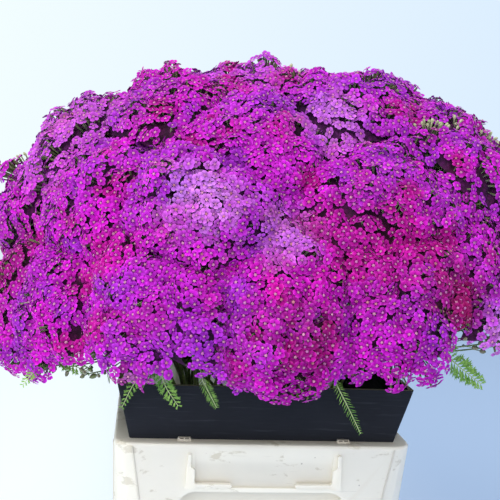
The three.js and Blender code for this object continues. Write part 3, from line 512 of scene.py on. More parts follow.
# What the solid of a head says: where its flowers grow, which way it faces and where its stem ends
def readHead(node):
    mesh = node.data
    mesh.calc_loop_triangles()
    points = np.empty(len(mesh.vertices) * 3)
    mesh.vertices.foreach_get("co", points)
    points = points.reshape(-1, 3)
    triangles = np.empty(len(mesh.loop_triangles) * 3, np.int32)
    mesh.loop_triangles.foreach_get("vertices", triangles)
    corners = points[triangles.reshape(-1, 3)]
    normals = np.cross(corners[:, 1] - corners[:, 0], corners[:, 2] - corners[:, 0])
    areas = np.linalg.norm(normals, axis=1) / 2
    normals = unit(normals)
    middles = corners.mean(1)
    centre = (middles * areas[:, None]).sum(0) / areas.sum()
    spreadOut = ((middles - centre) * areas[:, None]).T @ (middles - centre)
    axis = np.linalg.eigh(spreadOut)[1][:, 0]
    if axis @ (centre - domeCentre) < 0:
        axis = -axis
    top = normals @ axis > corymb["upperFrom"]
    low = points[np.argsort(points @ axis)[:corymb["hubPoints"]]]
    rim = rimPoints(corners[top])
    spread = rim - centre
    reach = np.linalg.norm(spread - (spread @ axis)[:, None] * axis, axis=1).mean()
    return dict(centre=centre, axis=axis, corners=corners[top], normals=normals[top], areas=areas[top],
                hub=low.mean(0), rim=rim, reach=reach, rise=rng.uniform(*corymb["rise"]), node=node.name,
                slot=node.material_slots[0].material.name)


# Middles of the edges that only one upper face has
def rimPoints(corners):
    seen = {}
    keys = np.round(corners / corymb["weld"]).astype(int)
    for face, ids in zip(corners, keys):
        for j in range(3):
            a, b = tuple(ids[j]), tuple(ids[(j + 1) % 3])
            seen.setdefault(frozenset((a, b)), []).append((face[j] + face[(j + 1) % 3]) / 2)
    return np.array([v[0] for v in seen.values() if len(v) == 1])


# Even places over the head's upper side, no two nearer than a capitulum's spacing
def scatter(head, apart):
    count = int(head["areas"].sum() / apart ** 2 * corymb["draws"])
    which = rng.choice(len(head["areas"]), count, p=head["areas"] / head["areas"].sum())
    a, b = rng.random(count), rng.random(count)
    over = a + b > 1
    a[over], b[over] = 1 - a[over], 1 - b[over]
    corners = head["corners"][which]
    first, second, third = corners[:, 0], corners[:, 1], corners[:, 2]
    places = first + a[:, None] * (second - first) + b[:, None] * (third - first)
    cells, kept = {}, []
    keys = np.floor(places / apart).astype(int)
    for k in range(count):
        x, y, z = keys[k]
        near = [j for i in range(-1, 2) for m in range(-1, 2) for n in range(-1, 2)
                for j in cells.get((x + i, y + m, z + n), ())]
        if all(((places[k] - places[j]) ** 2).sum() > apart ** 2 for j in near):
            cells.setdefault((x, y, z), []).append(k)
            kept.append(k)
    return places[kept], head["normals"][which[kept]]


# Groups the capitula into the small sprays that a corymb is made of
def groupSprays(places, size):
    count = max(corymb["fewest"], len(places) // size)
    middles = places[rng.choice(len(places), count, replace=False)]
    for _ in range(corymb["rounds"]):
        owner = np.argmin(((places[:, None] - middles[None]) ** 2).sum(2), axis=1)
        for k in range(count):
            if (owner == k).any():
                middles[k] = places[owner == k].mean(0)
    return middles, owner


# Outer flowers that lean over the rim into the free room between a head and its neighbours
def fillBetween(heads):
    spec = corymb
    for head in heads:
        others = [other for other in heads if other is not head
                  and np.linalg.norm(other["centre"] - head["centre"]) < spec["neighbours"]]
        taken = np.concatenate([other["places"] for other in others] + [head["places"]])
        rims = np.concatenate([other["rim"] for other in others])
        starts = np.repeat(head["rim"], spec["overDraws"], axis=0)
        out = starts - head["centre"]
        out = unit(out - (out @ head["axis"])[:, None] * head["axis"])
        along = np.cross(out, head["axis"])
        reach = rng.uniform(spec["overFrom"], spec["overReach"], (len(starts), 1))
        spots = starts + out * reach - head["axis"] * (spec["overStart"] + spec["overFall"] * reach)
        spots += along * rng.uniform(-spec["overAside"], spec["overAside"], (len(starts), 1))
        free = nearest(spots, taken) > capitulum["apart"]
        free &= nearest(spots, rims) < spec["overReach"]
        kept = []
        for k in rng.permutation(np.flatnonzero(free)):
            if all(((spots[k] - spots[j]) ** 2).sum() > capitulum["apart"] ** 2 for j in kept):
                kept.append(k)
        if kept:
            head["places"] = np.concatenate([head["places"], spots[kept]])
            leaning = unit(head["axis"] + spec["overOut"] * out[kept])
            head["facing"] = np.concatenate([head["facing"], leaning])


# Height of the ragged lower edge of the flowers, seen from in front: it hangs lowest in the middle
hem = dict(x=[-0.28, -0.20, -0.19, -0.16, -0.13, -0.12, -0.11, -0.095, -0.085, -0.075, -0.05, -0.04, 0.02,
              0.03, 0.12, 0.127, 0.132, 0.148, 0.155, 0.18, 0.28],
           z=[0.415, 0.42, 0.44, 0.447, 0.444, 0.435, 0.437, 0.45, 0.456, 0.445, 0.442, 0.41, 0.41,
              0.446, 0.441, 0.455, 0.497, 0.497, 0.472, 0.472, 0.455],
           elsewhere=0.415, fromY=-0.03, toY=-0.20, ragged=0.0035)

# Small hollows where the plants stand apart, darkened with painted shade: middle and radius
hollows = [((0.007, -0.229, 0.654), 0.009), ((0.015, -0.237, 0.647), 0.008), ((0.031, -0.263, 0.607), 0.006),
           ((-0.108, -0.210, 0.645), 0.010), ((-0.088, -0.298, 0.461), 0.010),
           ((-0.170, -0.237, 0.470), 0.010),
           ((0.121, -0.234, 0.617), 0.005), ((-0.097, -0.262, 0.590), 0.005), ((0.05, 0.24, 0.60), 0.008),
           ((-0.20, 0.12, 0.58), 0.008), ((0.24, 0.06, 0.55), 0.007)]


def hemHeight(places):
    share = np.clip((hem["fromY"] - places[:, 1]) / (hem["fromY"] - hem["toY"]), 0, 1)
    return hem["elsewhere"] + (np.interp(places[:, 0], hem["x"], hem["z"]) - hem["elsewhere"]) * share


# How deep each spot lies in one of the hollows, 1 in its middle and 0 outside
def hollowShare(places):
    depth = [1 - np.linalg.norm(places - np.array(middle), axis=1) / radius for middle, radius in hollows]
    return np.clip(np.max(depth, axis=0), 0, 1)


# Leaves flowers away under the hem and in the hollows
def openUp(head):
    places = head["places"]
    kept = places[:, 2] > hemHeight(places) + rng.normal(0, hem["ragged"], len(places))
    kept &= hollowShare(places) < rng.uniform(*corymb["hollowEdge"], len(places))
    head["places"], head["facing"] = places[kept], head["facing"][kept]


# Each head stands at its own height and is domed, and the topmost ones are pressed flat
def raised(head, spots):
    out = spots - head["centre"]
    out -= (out @ head["axis"])[:, None] * head["axis"]
    share = np.minimum(np.linalg.norm(out, axis=1) / head["reach"], corymb["widest"])
    rise = head["rise"] + corymb["headDome"] * (corymb["headLevel"] - share ** 2)
    moved = spots + head["axis"] * rise[:, None]
    moved[:, 2] -= np.maximum(moved[:, 2] - corymb["pressedFrom"], 0) * corymb["pressed"]
    return moved, share[:, None], unit(out)


# Distance from each spot to the nearest of the others
def nearest(spots, others):
    return np.concatenate([np.sqrt(((part[:, None] - others[None]) ** 2).sum(2)).min(1)
                           for part in np.array_split(spots, 1 + len(spots) // 400)])


# Each spray is a small dome of its own: high in the middle, leaning out and down towards its edge
def domeSprays(places, facing, sprays, owner, axis):
    spec = corymb
    count = len(sprays)
    rise = rng.normal(0, spec["sprayUneven"], count)
    tall = rng.random(count) < spec["tallShare"]
    rise += tall * rng.uniform(*spec["tallRise"], count)
    away = places - sprays[owner]
    away -= (away @ axis)[:, None] * axis
    far = np.linalg.norm(away, axis=1)
    widest = np.array([far[owner == k].max() if (owner == k).any() else 1 for k in range(count)])[owner]
    share = (far / np.maximum(widest, spec["sprayLeast"]))[:, None]
    lift = rise[owner][:, None] + spec["sprayDome"] * (spec["sprayLevel"] - share ** 2)
    lean = rng.normal(0, spec["sprayTilt"], (count, 3))[owner]
    return places + axis * lift, unit(facing + spec["sprayLean"] * share * unit(away) + lean)


# Which of the head's capitula are still closed
def closedOnes(places):
    found = [nearest(places, np.array([middle])) < radius * rng.uniform(*corymb["closedEdge"], len(places))
             for middle, radius in unopened]
    return np.any(found, axis=0)


def discShades(count):
    colours = np.array([toLinear(colour)[:3] for colour, chance in discs])
    limits = np.cumsum([chance for colour, chance in discs])[:-1]
    which = (rng.random(count)[:, None] >= limits).sum(1)
    return colours[which] * rng.uniform(*corymb["discBright"], (count, 1))


def addBranches(piece, head, knots):
    spec = corymb
    axis = head["axis"]
    stalk = head["hub"] - axis * spec["branchFrom"]
    radii = spec["branchRadius"] * np.linspace(1, spec["branchTip"], spec["branchSteps"])
    for knot in knots:
        start = stalk + axis * spec["branchFrom"] * rng.uniform(*spec["branchStarts"])
        bend = start + (knot - start) * spec["branchBend"] + axis * spec["branchSway"] * rng.uniform(-1, 1)
        line = route([start, bend, knot + axis * spec["branchEnd"]], spec["branchSteps"])
        points, faces = tube(line, radii, spec["branchSides"])
        piece.put(points, faces, headSlots["stalk"], shade=spec["branchShade"], along=0.5)


# Crowded florets under the open ones, along the head's own upper side and above the hem, darkened as painted
# shade
def addSheet(piece, head, plant):
    spec = corymb
    middles = head["corners"].mean(1)
    lowest = head["corners"][:, :, 2].min(1)
    shown = nearest(middles, head["rim"]) > spec["sheetInset"]
    shown &= lowest > hemHeight(middles) + spec["sheetAboveHem"]
    corners = head["corners"][shown].reshape(-1, 3)
    hollow = np.sqrt(hollowShare(corners))[:, None]
    sheet = raised(head, corners)[0] - head["axis"] * (spec["sheetDepth"] + spec["hollowDepth"] * hollow)
    # painted shade: the head's colours scaled far down, and darker still in the hollows
    deep = shadeAt(corners, plant) * np.array(spec["sheetPaintedShade"]) * (1 - spec["hollowPaintedShade"] * hollow)
    piece.put(sheet, np.arange(len(sheet)).reshape(-1, 3), headSlots["crowded"], along=0.5,
              shade=np.column_stack([deep, np.ones(len(sheet))]))


def dressHead(head, shapes, materials, number):
    spec = corymb
    axis = head["axis"]
    count = len(head["places"])
    rimGap = nearest(head["places"], head["rim"])
    closed = closedOnes(head["places"])
    places, share, out = raised(head, head["places"])
    rimShare = np.clip(1 - rimGap / spec["rimWidth"], 0, 1)[:, None]
    facing = unit(0.5 * head["facing"] + 0.5 * axis + spec["headLean"] * share * out)
    facing = unit(facing + rimShare * math.tan(math.radians(spec["rimTilt"])) * out)
    facing = unit(facing + rng.normal(0, math.tan(math.radians(spec["tilt"])), (count, 3)))
    sprays, owner = groupSprays(places, spec["sprayOf"])
    places, facing = domeSprays(places, facing, sprays, owner, axis)
    places = places + facing * capitulum["lift"] + axis * rng.normal(0, spec["uneven"], (count, 1))
    knots = sprays - axis * spec["sprayDepth"]
    knots += spec["inwards"] * (head["hub"] - axis * spec["hubDepth"] - knots)
    first, second = across(facing, rng.uniform(0, tau, count))
    size = rng.uniform(*spec["sizes"], count)
    plant = rng.choice(list(plants), p=list(plants.values()))
    petalShade = shadeAt(places, plant)
    discShade = discShades(count)
    variant = np.where(closed, len(shapes) - 1, rng.integers(0, len(shapes) - 1, count))
    piece = Gather()
    for v, (points, faces, slots, along) in enumerate(shapes):
        which = np.flatnonzero(variant == v)
        if not len(which):
            continue
        local = points[None] * size[which, None, None]
        world = (places[which, None] + local[..., :1] * first[which, None]
                 + local[..., 1:2] * second[which, None]
                 + local[..., 2:] * facing[which, None])
        world[:, -1] = knots[owner[which]]
        isDisc = np.zeros(len(points), bool)
        isDisc[faces[slots == headSlots["disc"]].ravel()] = True
        shade = np.where(isDisc[None, :, None], discShade[which, None], petalShade[which, None])
        shade = np.concatenate([shade, np.ones(shade.shape[:2] + (1,))], 2)
        steps = (np.arange(len(which)) * len(points))[:, None, None]
        piece.put(world.reshape(-1, 3), (faces[None] + steps).reshape(-1, 3), np.tile(slots, len(which)),
                  shade=shade.reshape(-1, 4), along=np.tile(along, len(which)))
    addBranches(piece, head, knots)
    addSheet(piece, head, plant)
    piece.make("corymb%02d" % number, materials, replaces=[head["node"]], slot=head["slot"])
    return count


def makeHeads():
    materials = [petalSkin(), cellFlorets("yarrowDisc"),
                 greenGrowth("yarrowStalk", "#55702f", "#93a866", 0.002),
                 cellFlorets("shadedCrowdedFlorets"), greenGrowth("yarrowClosed", "#8d9a68", "#cdd3ae", 0.002)]
    shapes = [capitulumShape(rng.choice(capitulum["cups"])) for _ in range(capitulum["variants"])]
    shapes.append(closedShape())
    names = sorted(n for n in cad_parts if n.startswith("flower_head_"))
    heads = [readHead(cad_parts[n]) for n in names]
    for head in heads:
        head["places"], head["facing"] = scatter(head, capitulum["apart"])
    fillBetween(heads)
    for head in heads:
        openUp(head)
    total = sum(dressHead(head, shapes, materials, number) for number, head in enumerate(heads, 1))
    print("yarrow:", len(heads), "heads with", total, "capitula")
    return heads


# Stems and leaves

# Materials of a bunch's piece, in the order of its slots
stemSlots = dict(stem=0, leaf=1, rib=2, bud=3)

container = dict(width=0.280, length=0.375, height=0.360, ledgeShown=0.0144, collarHeight=0.0535,
                 flare=0.0124)

stems = dict(thick=0.0023, thin=0.0016, foot=0.0056, gathered=0.18, split=0.330, mouth=0.426, mouthX=0.113,
             mouthY=0.161, mouthPower=4, lowest=84.2, fromMiddleX=0.058, fromMiddleY=0.104, packed=0.0024,
             packTurn=2.4, packStart=0.3, underHub=(0.042, 0.010), steps=26, sides=6, ridge=0.12,
             leafAt=(0.72, 0.84), leafTurn=0.5, leafRise=0.2, leafReach=(0.035, 0.05), leafAhead=0.02,
             leafArch=0.006, leafSteps=12, leafLength=0.006, leafPairs=11, leafBare=0.15, leafNeedles=1)


def bunchPlaces():
    x, y = stems["fromMiddleX"], stems["fromMiddleY"]
    return [np.array(p) for p in ((0.0, 0.0), (-x, -y), (x, -y), (-x, y), (x, y))]


# Where a head's stem passes the collar
def mouthPoint(head):
    direction = unit(head["centre"] - domeCentre)
    share = min(1, math.acos(np.clip(direction[2], -1, 1)) / math.radians(stems["lowest"]))
    flat = unit(direction[:2])
    power = stems["mouthPower"]
    total = abs(flat[0] / stems["mouthX"]) ** power + abs(flat[1] / stems["mouthY"]) ** power
    return flat * share * total ** (-1 / power)


# Leaflets of a feathery leaf: how they sweep forward, how wide they are, and their side needles
leaflet = dict(ribFoot=0.0010, ribTip=0.0003, ribSides=4, last=0.985, swellFrom=0.28, swell=0.62,
               least=0.15, lengths=(0.85, 1.1), forward=(0.7, 1.05), lifts=(-0.2, 0.3), widest=0.45,
               plainWidth=0.06, forkedWidth=0.075, needleWidth=0.1, needleLength=0.4, needleTurn=0.55,
               needleFrom=1.2, needleEnd=1.6, thinnest=0.0003)


# A feathery leaf along a line: a rib, and on both sides needle leaflets swept forward and forked near the tip
def frondLeaf(piece, line, facing, length, pairs, bare, needles=0, broad=1.0):
    spec = leaflet
    points, faces = tube(line, np.linspace(spec["ribFoot"], spec["ribTip"], len(line)), spec["ribSides"])
    piece.put(points, faces, stemSlots["rib"])
    steps = np.linspace(bare, spec["last"], pairs)
    at = steps * (len(line) - 1)
    low = np.minimum(at.astype(int), len(line) - 2)
    centres = line[low] + (at - low)[:, None] * (line[low + 1] - line[low])
    along = unit(np.gradient(line, axis=0))[low]
    blades = []
    for k in range(pairs):
        grown = (steps[k] - bare) / (1 - bare)
        swell = math.sin(math.pi * (spec["swellFrom"] + spec["swell"] * grown)) + spec["least"]
        reach = length * swell * rng.uniform(*spec["lengths"])
        out = unit(np.cross(along[k], facing))
        lift = unit(np.cross(out, along[k]))
        for side in (-1, 1):
            way = side * out + along[k] * rng.uniform(*spec["forward"]) + lift * rng.uniform(*spec["lifts"])
            way = unit(way)
            wide = unit(np.cross(way, lift))
            spots = [(centres[k], way, reach, spec["forkedWidth"] if needles else spec["plainWidth"])]
            for n in range(needles):
                root = centres[k] + way * reach * (n + spec["needleFrom"]) / (needles + spec["needleEnd"])
                for turn in (-spec["needleTurn"], spec["needleTurn"]):
                    spots.append((root, unit(way + turn * wide), reach * spec["needleLength"],
                                  spec["needleWidth"]))
            for base, forward, size, width in spots:
                sideways = unit(np.cross(forward, lift)) * max(size * width * broad, spec["thinnest"])
                middle = base + forward * size * spec["widest"]
                blades.append([base, middle + sideways, base + forward * size, middle - sideways])
    piece.put(np.array(blades), np.arange(4 * len(blades)).reshape(-1, 4), stemSlots["leaf"])


frond = dict(highest=0.28, offMiddle=0.030, overCollar=0.007, clear=0.007, arch=0.015, shift=0.006, lean=0.55,
             belly=0.003, droop=0.046, sideDroop=0.024, droops=(0.8, 1.4), leans=(-1.2, 1.8), middle=0.6,
             underMouth=0.001, length=0.0068, pairs=23, bare=0.4, steps=22)


# Leaves that grow from outer stems at the mouth, pass over the collar's edge and hang outside it
def hangingFrond(piece, mouth):
    nearX = abs(mouth[0]) / stems["mouthX"] > abs(mouth[1]) / stems["mouthY"]
    out = np.array([np.sign(mouth[0]), 0, 0]) if nearX else np.array([0, np.sign(mouth[1]), 0])
    sideways = np.cross(up, out)
    edge = container["width" if nearX else "length"] / 2 - container["ledgeShown"] + container["flare"]
    top = container["height"] + container["collarHeight"]
    start = np.array([mouth[0], mouth[1], stems["mouth"] - frond["underMouth"]])
    over = start + out * (edge + frond["clear"] - start @ out) + sideways * frond["shift"]
    over[2] = top + frond["overCollar"]
    droop, lean = frond["droop"], frond["lean"]
    if nearX:
        droop, lean = frond["sideDroop"] * rng.uniform(*frond["droops"]), lean * rng.uniform(*frond["leans"])
    elif mouth @ sideways[:2] < 0:
        droop = frond["sideDroop"]
    end = over + sideways * droop * lean + out * frond["belly"]
    end[2] -= droop
    middle = start + (over - start) * frond["middle"]
    middle[2] = top + frond["arch"]
    hanging = (over + end) / 2 + out * frond["belly"]
    line = route([start, middle, over, hanging, end], frond["steps"])
    frondLeaf(piece, line, out, frond["length"], frond["pairs"], frond["bare"])


# Leaves that show outside the collar besides: from a stem at the mouth, over its edge, to a hanging tip
looseLeaves = [
    dict(points=[(-0.085, -0.150, 0.430), (-0.100, -0.192, 0.438), (-0.096, -0.199, 0.418),
                 (-0.083, -0.199, 0.398)],
         facing=(0, -1, 0.2), length=0.0095, pairs=13),
    dict(points=[(-0.100, -0.150, 0.428), (-0.112, -0.192, 0.434), (-0.124, -0.199, 0.416),
                 (-0.133, -0.200, 0.396)],
         facing=(-0.2, -1, 0.2), length=0.006, pairs=12),
    dict(points=[(0.106, -0.100, 0.427), (0.146, -0.215, 0.462), (0.165, -0.205, 0.448), (0.181, -0.2, 0.436),
                 (0.197, -0.2, 0.425)],
         facing=(0.1, -1, 0.3), length=0.0125, pairs=15),
    dict(points=[(-0.106, -0.110, 0.427), (-0.209, -0.17, 0.444), (-0.194, -0.19, 0.439),
                 (-0.18, -0.2, 0.434), (-0.163, -0.205, 0.429)],
         facing=(0, -1, 0.4), length=0.009, pairs=15),
    dict(points=[(-0.113, -0.090, 0.427), (-0.191, -0.17, 0.44), (-0.201, -0.2, 0.435),
                 (-0.209, -0.21, 0.429), (-0.218, -0.215, 0.418)],
         facing=(0, -1, 0.4), length=0.007, pairs=14),
]
looseLeaf = dict(bunch=2, steps=20, bare=0.3, needles=2, broad=1.8)

shoots = dict(offMiddle=0.085, perHead=5, starts=(0.62, 0.8), below=(0.030, 0.050), under=0.026,
              unders=(0.6, 1.2), aside=0.045, sags=(0.002, 0.010), steps=9, radius=0.0009, taper=(1.3, 0.6),
              sides=4, buds=6, knotsFrom=6, spread=0.45, budStalk=(0.006, 0.013),
              budStalkRadii=[0.0005, 0.0004], budSize=0.0021, budSizes=(0.7, 1.15),
              budHeights=(-0.3, 0.6, 1.7, 2.6), budWidths=(0.45, 1.0, 0.85, 0.25))


# Side shoots under a low head: thin stalks that branch and end in small unopened buds
def sideShoots(piece, head, line):
    spec = shoots
    axis = head["axis"]
    down = unit(-up + (up @ axis) * axis)
    aside = np.cross(axis, down)
    radii = np.linspace(*spec["taper"], spec["steps"]) * spec["radius"]
    for _ in range(spec["perHead"]):
        start = line[int(rng.uniform(*spec["starts"]) * (len(line) - 1))]
        end = (head["centre"] - axis * spec["under"] * rng.uniform(*spec["unders"])
               + down * rng.uniform(*spec["below"]) + aside * rng.uniform(-1, 1) * spec["aside"])
        bend = (start + end) / 2 - up * rng.uniform(*spec["sags"])
        stalk = route([start, bend, end], spec["steps"])
        points, faces = tube(stalk, radii, spec["sides"])
        piece.put(points, faces, stemSlots["stem"])
        for _ in range(spec["buds"]):
            knot = stalk[rng.integers(spec["knotsFrom"], spec["steps"])]
            aim = unit(unit(end - bend) + rng.normal(0, spec["spread"], 3))
            tip = knot + aim * rng.uniform(*spec["budStalk"])
            points, faces = tube([knot, tip], spec["budStalkRadii"], 3)
            piece.put(points, faces, stemSlots["stem"])
            way = unit(tip - knot)
            size = spec["budSize"] * rng.uniform(*spec["budSizes"])
            rings = [tip + way * size * height for height in spec["budHeights"]]
            points, faces = tube(rings, size * np.array(spec["budWidths"]), 6)
            piece.put(points, faces, stemSlots["bud"])


# One head's stem from the container's floor to its hub
def stemLine(head, place, turn, rank):
    spec = stems
    away = spec["packed"] * math.sqrt(rank + spec["packStart"])
    packed = place + away * np.array([math.cos(turn), math.sin(turn)])
    inside = [np.append(packed, height) for height in (spec["foot"], spec["gathered"], spec["split"])]
    outside = [head["hub"] - head["axis"] * depth for depth in spec["underHub"]]
    return route(inside + [np.append(head["mouth"], spec["mouth"])] + outside, spec["steps"])


def stemLeaf(piece, line, share):
    spec = stems
    at = line[int(share * (len(line) - 1))]
    ahead = unit(line[-1] - at)
    outwards = unit(np.append(unit(at[:2] + 1e-6) + rng.normal(0, spec["leafTurn"], 2), spec["leafRise"]))
    end = at + outwards * rng.uniform(*spec["leafReach"]) + ahead * spec["leafAhead"]
    leaf = route([at, (at + end) / 2 + up * spec["leafArch"], end], spec["leafSteps"])
    way = unit(end - at)
    facing = unit(np.cross(way, np.cross(up, way)))
    frondLeaf(piece, leaf, facing, spec["leafLength"], spec["leafPairs"], spec["leafBare"],
              spec["leafNeedles"])


def makeStems(heads):
    materials = [greenGrowth("yarrowStem", "#4c6a2c", "#8aa35c", 0.0025),
                 greenGrowth("yarrowLeaf", "#4c8630", "#9ac860", 0.002),
                 greenGrowth("yarrowRib", "#9db874", "#cfe0a6", 0.002),
                 greenGrowth("yarrowBud", "#6d7f4c", "#a79a92", 0.0015)]
    bunches = [dict(place=place, heads=[]) for place in bunchPlaces()]
    for head in heads:
        head["mouth"] = mouthPoint(head)
        min(bunches, key=lambda bunch: np.linalg.norm(bunch["place"] - head["mouth"]))["heads"].append(head)
    for number, bunch in enumerate(bunches, 1):
        piece = Gather()
        for rank, head in enumerate(bunch["heads"]):
            line = stemLine(head, bunch["place"], rank * stems["packTurn"] + number, rank)
            radii = np.linspace(stems["thick"], stems["thin"], len(line))
            points, faces = tube(line, radii, stems["sides"], stems["ridge"])
            piece.put(points, faces, stemSlots["stem"])
            for share in stems["leafAt"]:
                stemLeaf(piece, line, share)
            if unit(head["centre"] - domeCentre)[2] < frond["highest"]:
                if abs(head["mouth"][0]) > shoots["offMiddle"]:
                    sideShoots(piece, head, line)
                if abs(head["mouth"][0]) > frond["offMiddle"]:
                    hangingFrond(piece, head["mouth"])
        if number == looseLeaf["bunch"]:
            for leaf in looseLeaves:
                line = route(leaf["points"], looseLeaf["steps"])
                frondLeaf(piece, line, unit(np.array(leaf["facing"], float)), leaf["length"], leaf["pairs"],
                          looseLeaf["bare"], looseLeaf["needles"], looseLeaf["broad"])
        piece.make("stemBunch%d" % number, materials, slot="green",
                   replaces=["stem_bunch_%d" % number, "stem_foot_%d" % number])
    print("yarrow:", len(bunches), "bunches of stems")


# Container, collar and water

# Polypropylene, injection moulded: cream and faintly waxy, with beige stains and fine grey scratches
def mouldedPolypropylene():
    material, tree, shader, where = newMaterial("mouldedPolypropylene", IOR=1.49, Specular_IOR_Level=0.4,
                                                Subsurface_Weight=0.6, Subsurface_Scale=0.012,
                                                Subsurface_Radius=(1.0, 0.97, 0.92))
    cloud = add(tree, "TexNoise", {"Vector": where, "Scale": 1 / 0.08, "Detail": 5.0, "Roughness": 0.6})
    base = add(tree, "Mix", {"Factor": cloud, "A": "#f8f4e9", "B": "#f1ede1"}, data_type="RGBA")
    # stains 10 to 25 mm wide, lying level, with ragged edges, and strongest near the rim, where hands touch
    drawn = add(tree, "Mapping", {"Vector": where, "Scale": (28.0, 28.0, 62.0)})
    stains = add(tree, "TexNoise", {"Vector": drawn, "Scale": 1.0, "Detail": 9.0, "Roughness": 0.62,
                 "Distortion": 0.4})
    stained = add(tree, "MapRange", {"Value": stains, "From Min": 0.59, "From Max": 0.63, "To Max": 0.5})
    height = add(tree, "SeparateXYZ", {"Vector": where}).outputs["Z"]
    handled = add(tree, "MapRange", {"Value": height, "From Min": 0.26, "From Max": 0.31, "To Min": 0.22})
    touched = add(tree, "Math", {0: stained, 1: handled}, operation="MULTIPLY")
    dirty = add(tree, "Mix", {"Factor": touched, "A": base, "B": "#b9b09e"}, data_type="RGBA")
    # scratches under a millimetre wide
    fine = add(tree, "Mapping", {"Vector": where, "Rotation": (0, 0.5, 0), "Scale": (30.0, 30.0, 900.0)})
    lines = add(tree, "TexNoise", {"Vector": fine, "Scale": 1.0, "Detail": 3.0})
    worn = blended(tree, lines, 0.72, 0.76, dirty, "#9d968c", end=0.35)
    # edges tinted beige, partly rubbed wear and partly a painted glow of light through the thin plastic; grey
    # dirt with painted shade in the inner corners; and small dark specks
    bent = add(tree, "NewGeometry").outputs["Pointiness"]
    # partly wear, partly a painted glow on the convex edges
    rubbedAndGlowing = blended(tree, bent, 0.52, 0.60, worn, "#ddd0bf", end=0.4)
    # partly dirt, partly painted shade in the concave corners
    dirtAndShade = blended(tree, bent, 0.48, 0.42, rubbedAndGlowing, "#a99c8d", end=0.5)
    specks = add(tree, "TexVoronoi", {"Vector": where, "Scale": 1 / 0.018})
    spotted = blended(tree, specks, 0.03, 0.06, dirtAndShade, "#857a70", start=0.6, end=0.0)
    rough = add(tree, "MapRange", {"Value": stains, "To Min": 0.34, "To Max": 0.6})
    grain = add(tree, "TexNoise", {"Vector": where, "Scale": 1 / 0.0015, "Detail": 2.0})
    bump = add(tree, "Bump", {"Height": grain, "Strength": 0.12, "Distance": 0.0002})
    feed(shader, {"Base Color": spotted, "Roughness": rough, "Normal": bump})
    return material


# The pairs of slots in front of the collar: each pair is cut in the face of a low moulded clip
clips = dict(fromCentre=0.075, width=0.0112, height=0.0026, depth=0.0035, sunk=0.0006, sill=0.0005,
             slotWidth=0.0036, slotHeight=0.0017, slotDepth=0.0009, outFromCollar=0.0012)


def box(low, high):
    corners = [(x, y, z) for x in (low[0], high[0]) for y in (low[1], high[1]) for z in (low[2], high[2])]
    return corners, [(0, 1, 3, 2), (4, 6, 7, 5), (0, 4, 5, 1), (2, 3, 7, 6), (0, 2, 6, 4), (1, 5, 7, 3)]


def makeClips(plastic):
    # the back of a slot: dark and mottled, a painted shadow inside the slot
    slotShadow = mottled("slotPaintedShadow", "#1d1815", "#4d4139", 0.001, 3.0, Roughness=0.95, IOR=1.45)
    piece = Gather()
    foot = container["height"] - clips["sunk"]
    top = container["height"] + clips["height"]
    sill = container["height"] + clips["sill"]
    lintel = sill + clips["slotHeight"]
    face = container["length"] / 2 - container["ledgeShown"] + clips["outFromCollar"] + clips["depth"]
    post = (clips["width"] - 2 * clips["slotWidth"]) / 3
    for end in (-1, 1):
        for side in (-1, 1):
            left = side * clips["fromCentre"] - clips["width"] / 2
            edges = [left + k * (post + clips["slotWidth"]) for k in range(3)]
            blocks = [(x, x + post, foot, top, 0) for x in edges]
            for low, high, back in ((lintel, top, 0), (foot, sill, 0), (sill, lintel, 1)):
                blocks += [(x + post, x + post + clips["slotWidth"], low, high, back) for x in edges[:2]]
            for x0, x1, z0, z1, back in blocks:
                front = face - (clips["slotDepth"] if back else 0)
                y0, y1 = sorted((end * front, end * (face - clips["depth"])))
                points, faces = box((x0, y0, z0), (x1, y1, z1))
                piece.put(points, faces, back)
    piece.make("rimClips", [plastic, slotShadow], slot="plastic").data.shade_flat()


# A low moulded rib runs down each crease between a flat side and its rounded corner
ribs = dict(radius=0.0011, sides=8, sunk=0.0004, top=0.357, foot=0.004, sideDraft=0.03, endDraft=0.09,
            cornerTop=0.017, cornerFoot=0.064)


def makeRibs(plastic):
    piece = Gather()
    for onEnd in (True, False):
        for sx in (-1, 1):
            for sy in (-1, 1):
                line = []
                for z in (ribs["top"], ribs["foot"]):
                    down = container["height"] - z
                    share = down / container["height"]
                    cut = ribs["cornerTop"] + (ribs["cornerFoot"] - ribs["cornerTop"]) * share
                    x = container["width"] / 2 - ribs["sideDraft"] * down - (cut if onEnd else ribs["sunk"])
                    y = container["length"] / 2 - ribs["endDraft"] * down - (ribs["sunk"] if onEnd else cut)
                    line.append((sx * x, sy * y, z))
                points, faces = tube(line, ribs["radius"], ribs["sides"])
                piece.put(points, faces)
    piece.make("cornerRibs", [plastic], slot="plastic")


# Roundness of the rim's outer edge and of other edges, and which edges those are: angles are in degrees
softEdge = dict(rim=0.0036, elsewhere=0.0009, segments=3, sharpest=28, crease=(8, 24), upright=0.9,
                rimDepth=0.001, rimFrom=0.46, weld=0.00002, flat=1.0)


# Whether a point is on the outer edge of the rim
def onRim(point):
    out = max(abs(point.x) / container["width"], abs(point.y) / container["length"])
    return point.z > container["height"] - softEdge["rimDepth"] and out > softEdge["rimFrom"]


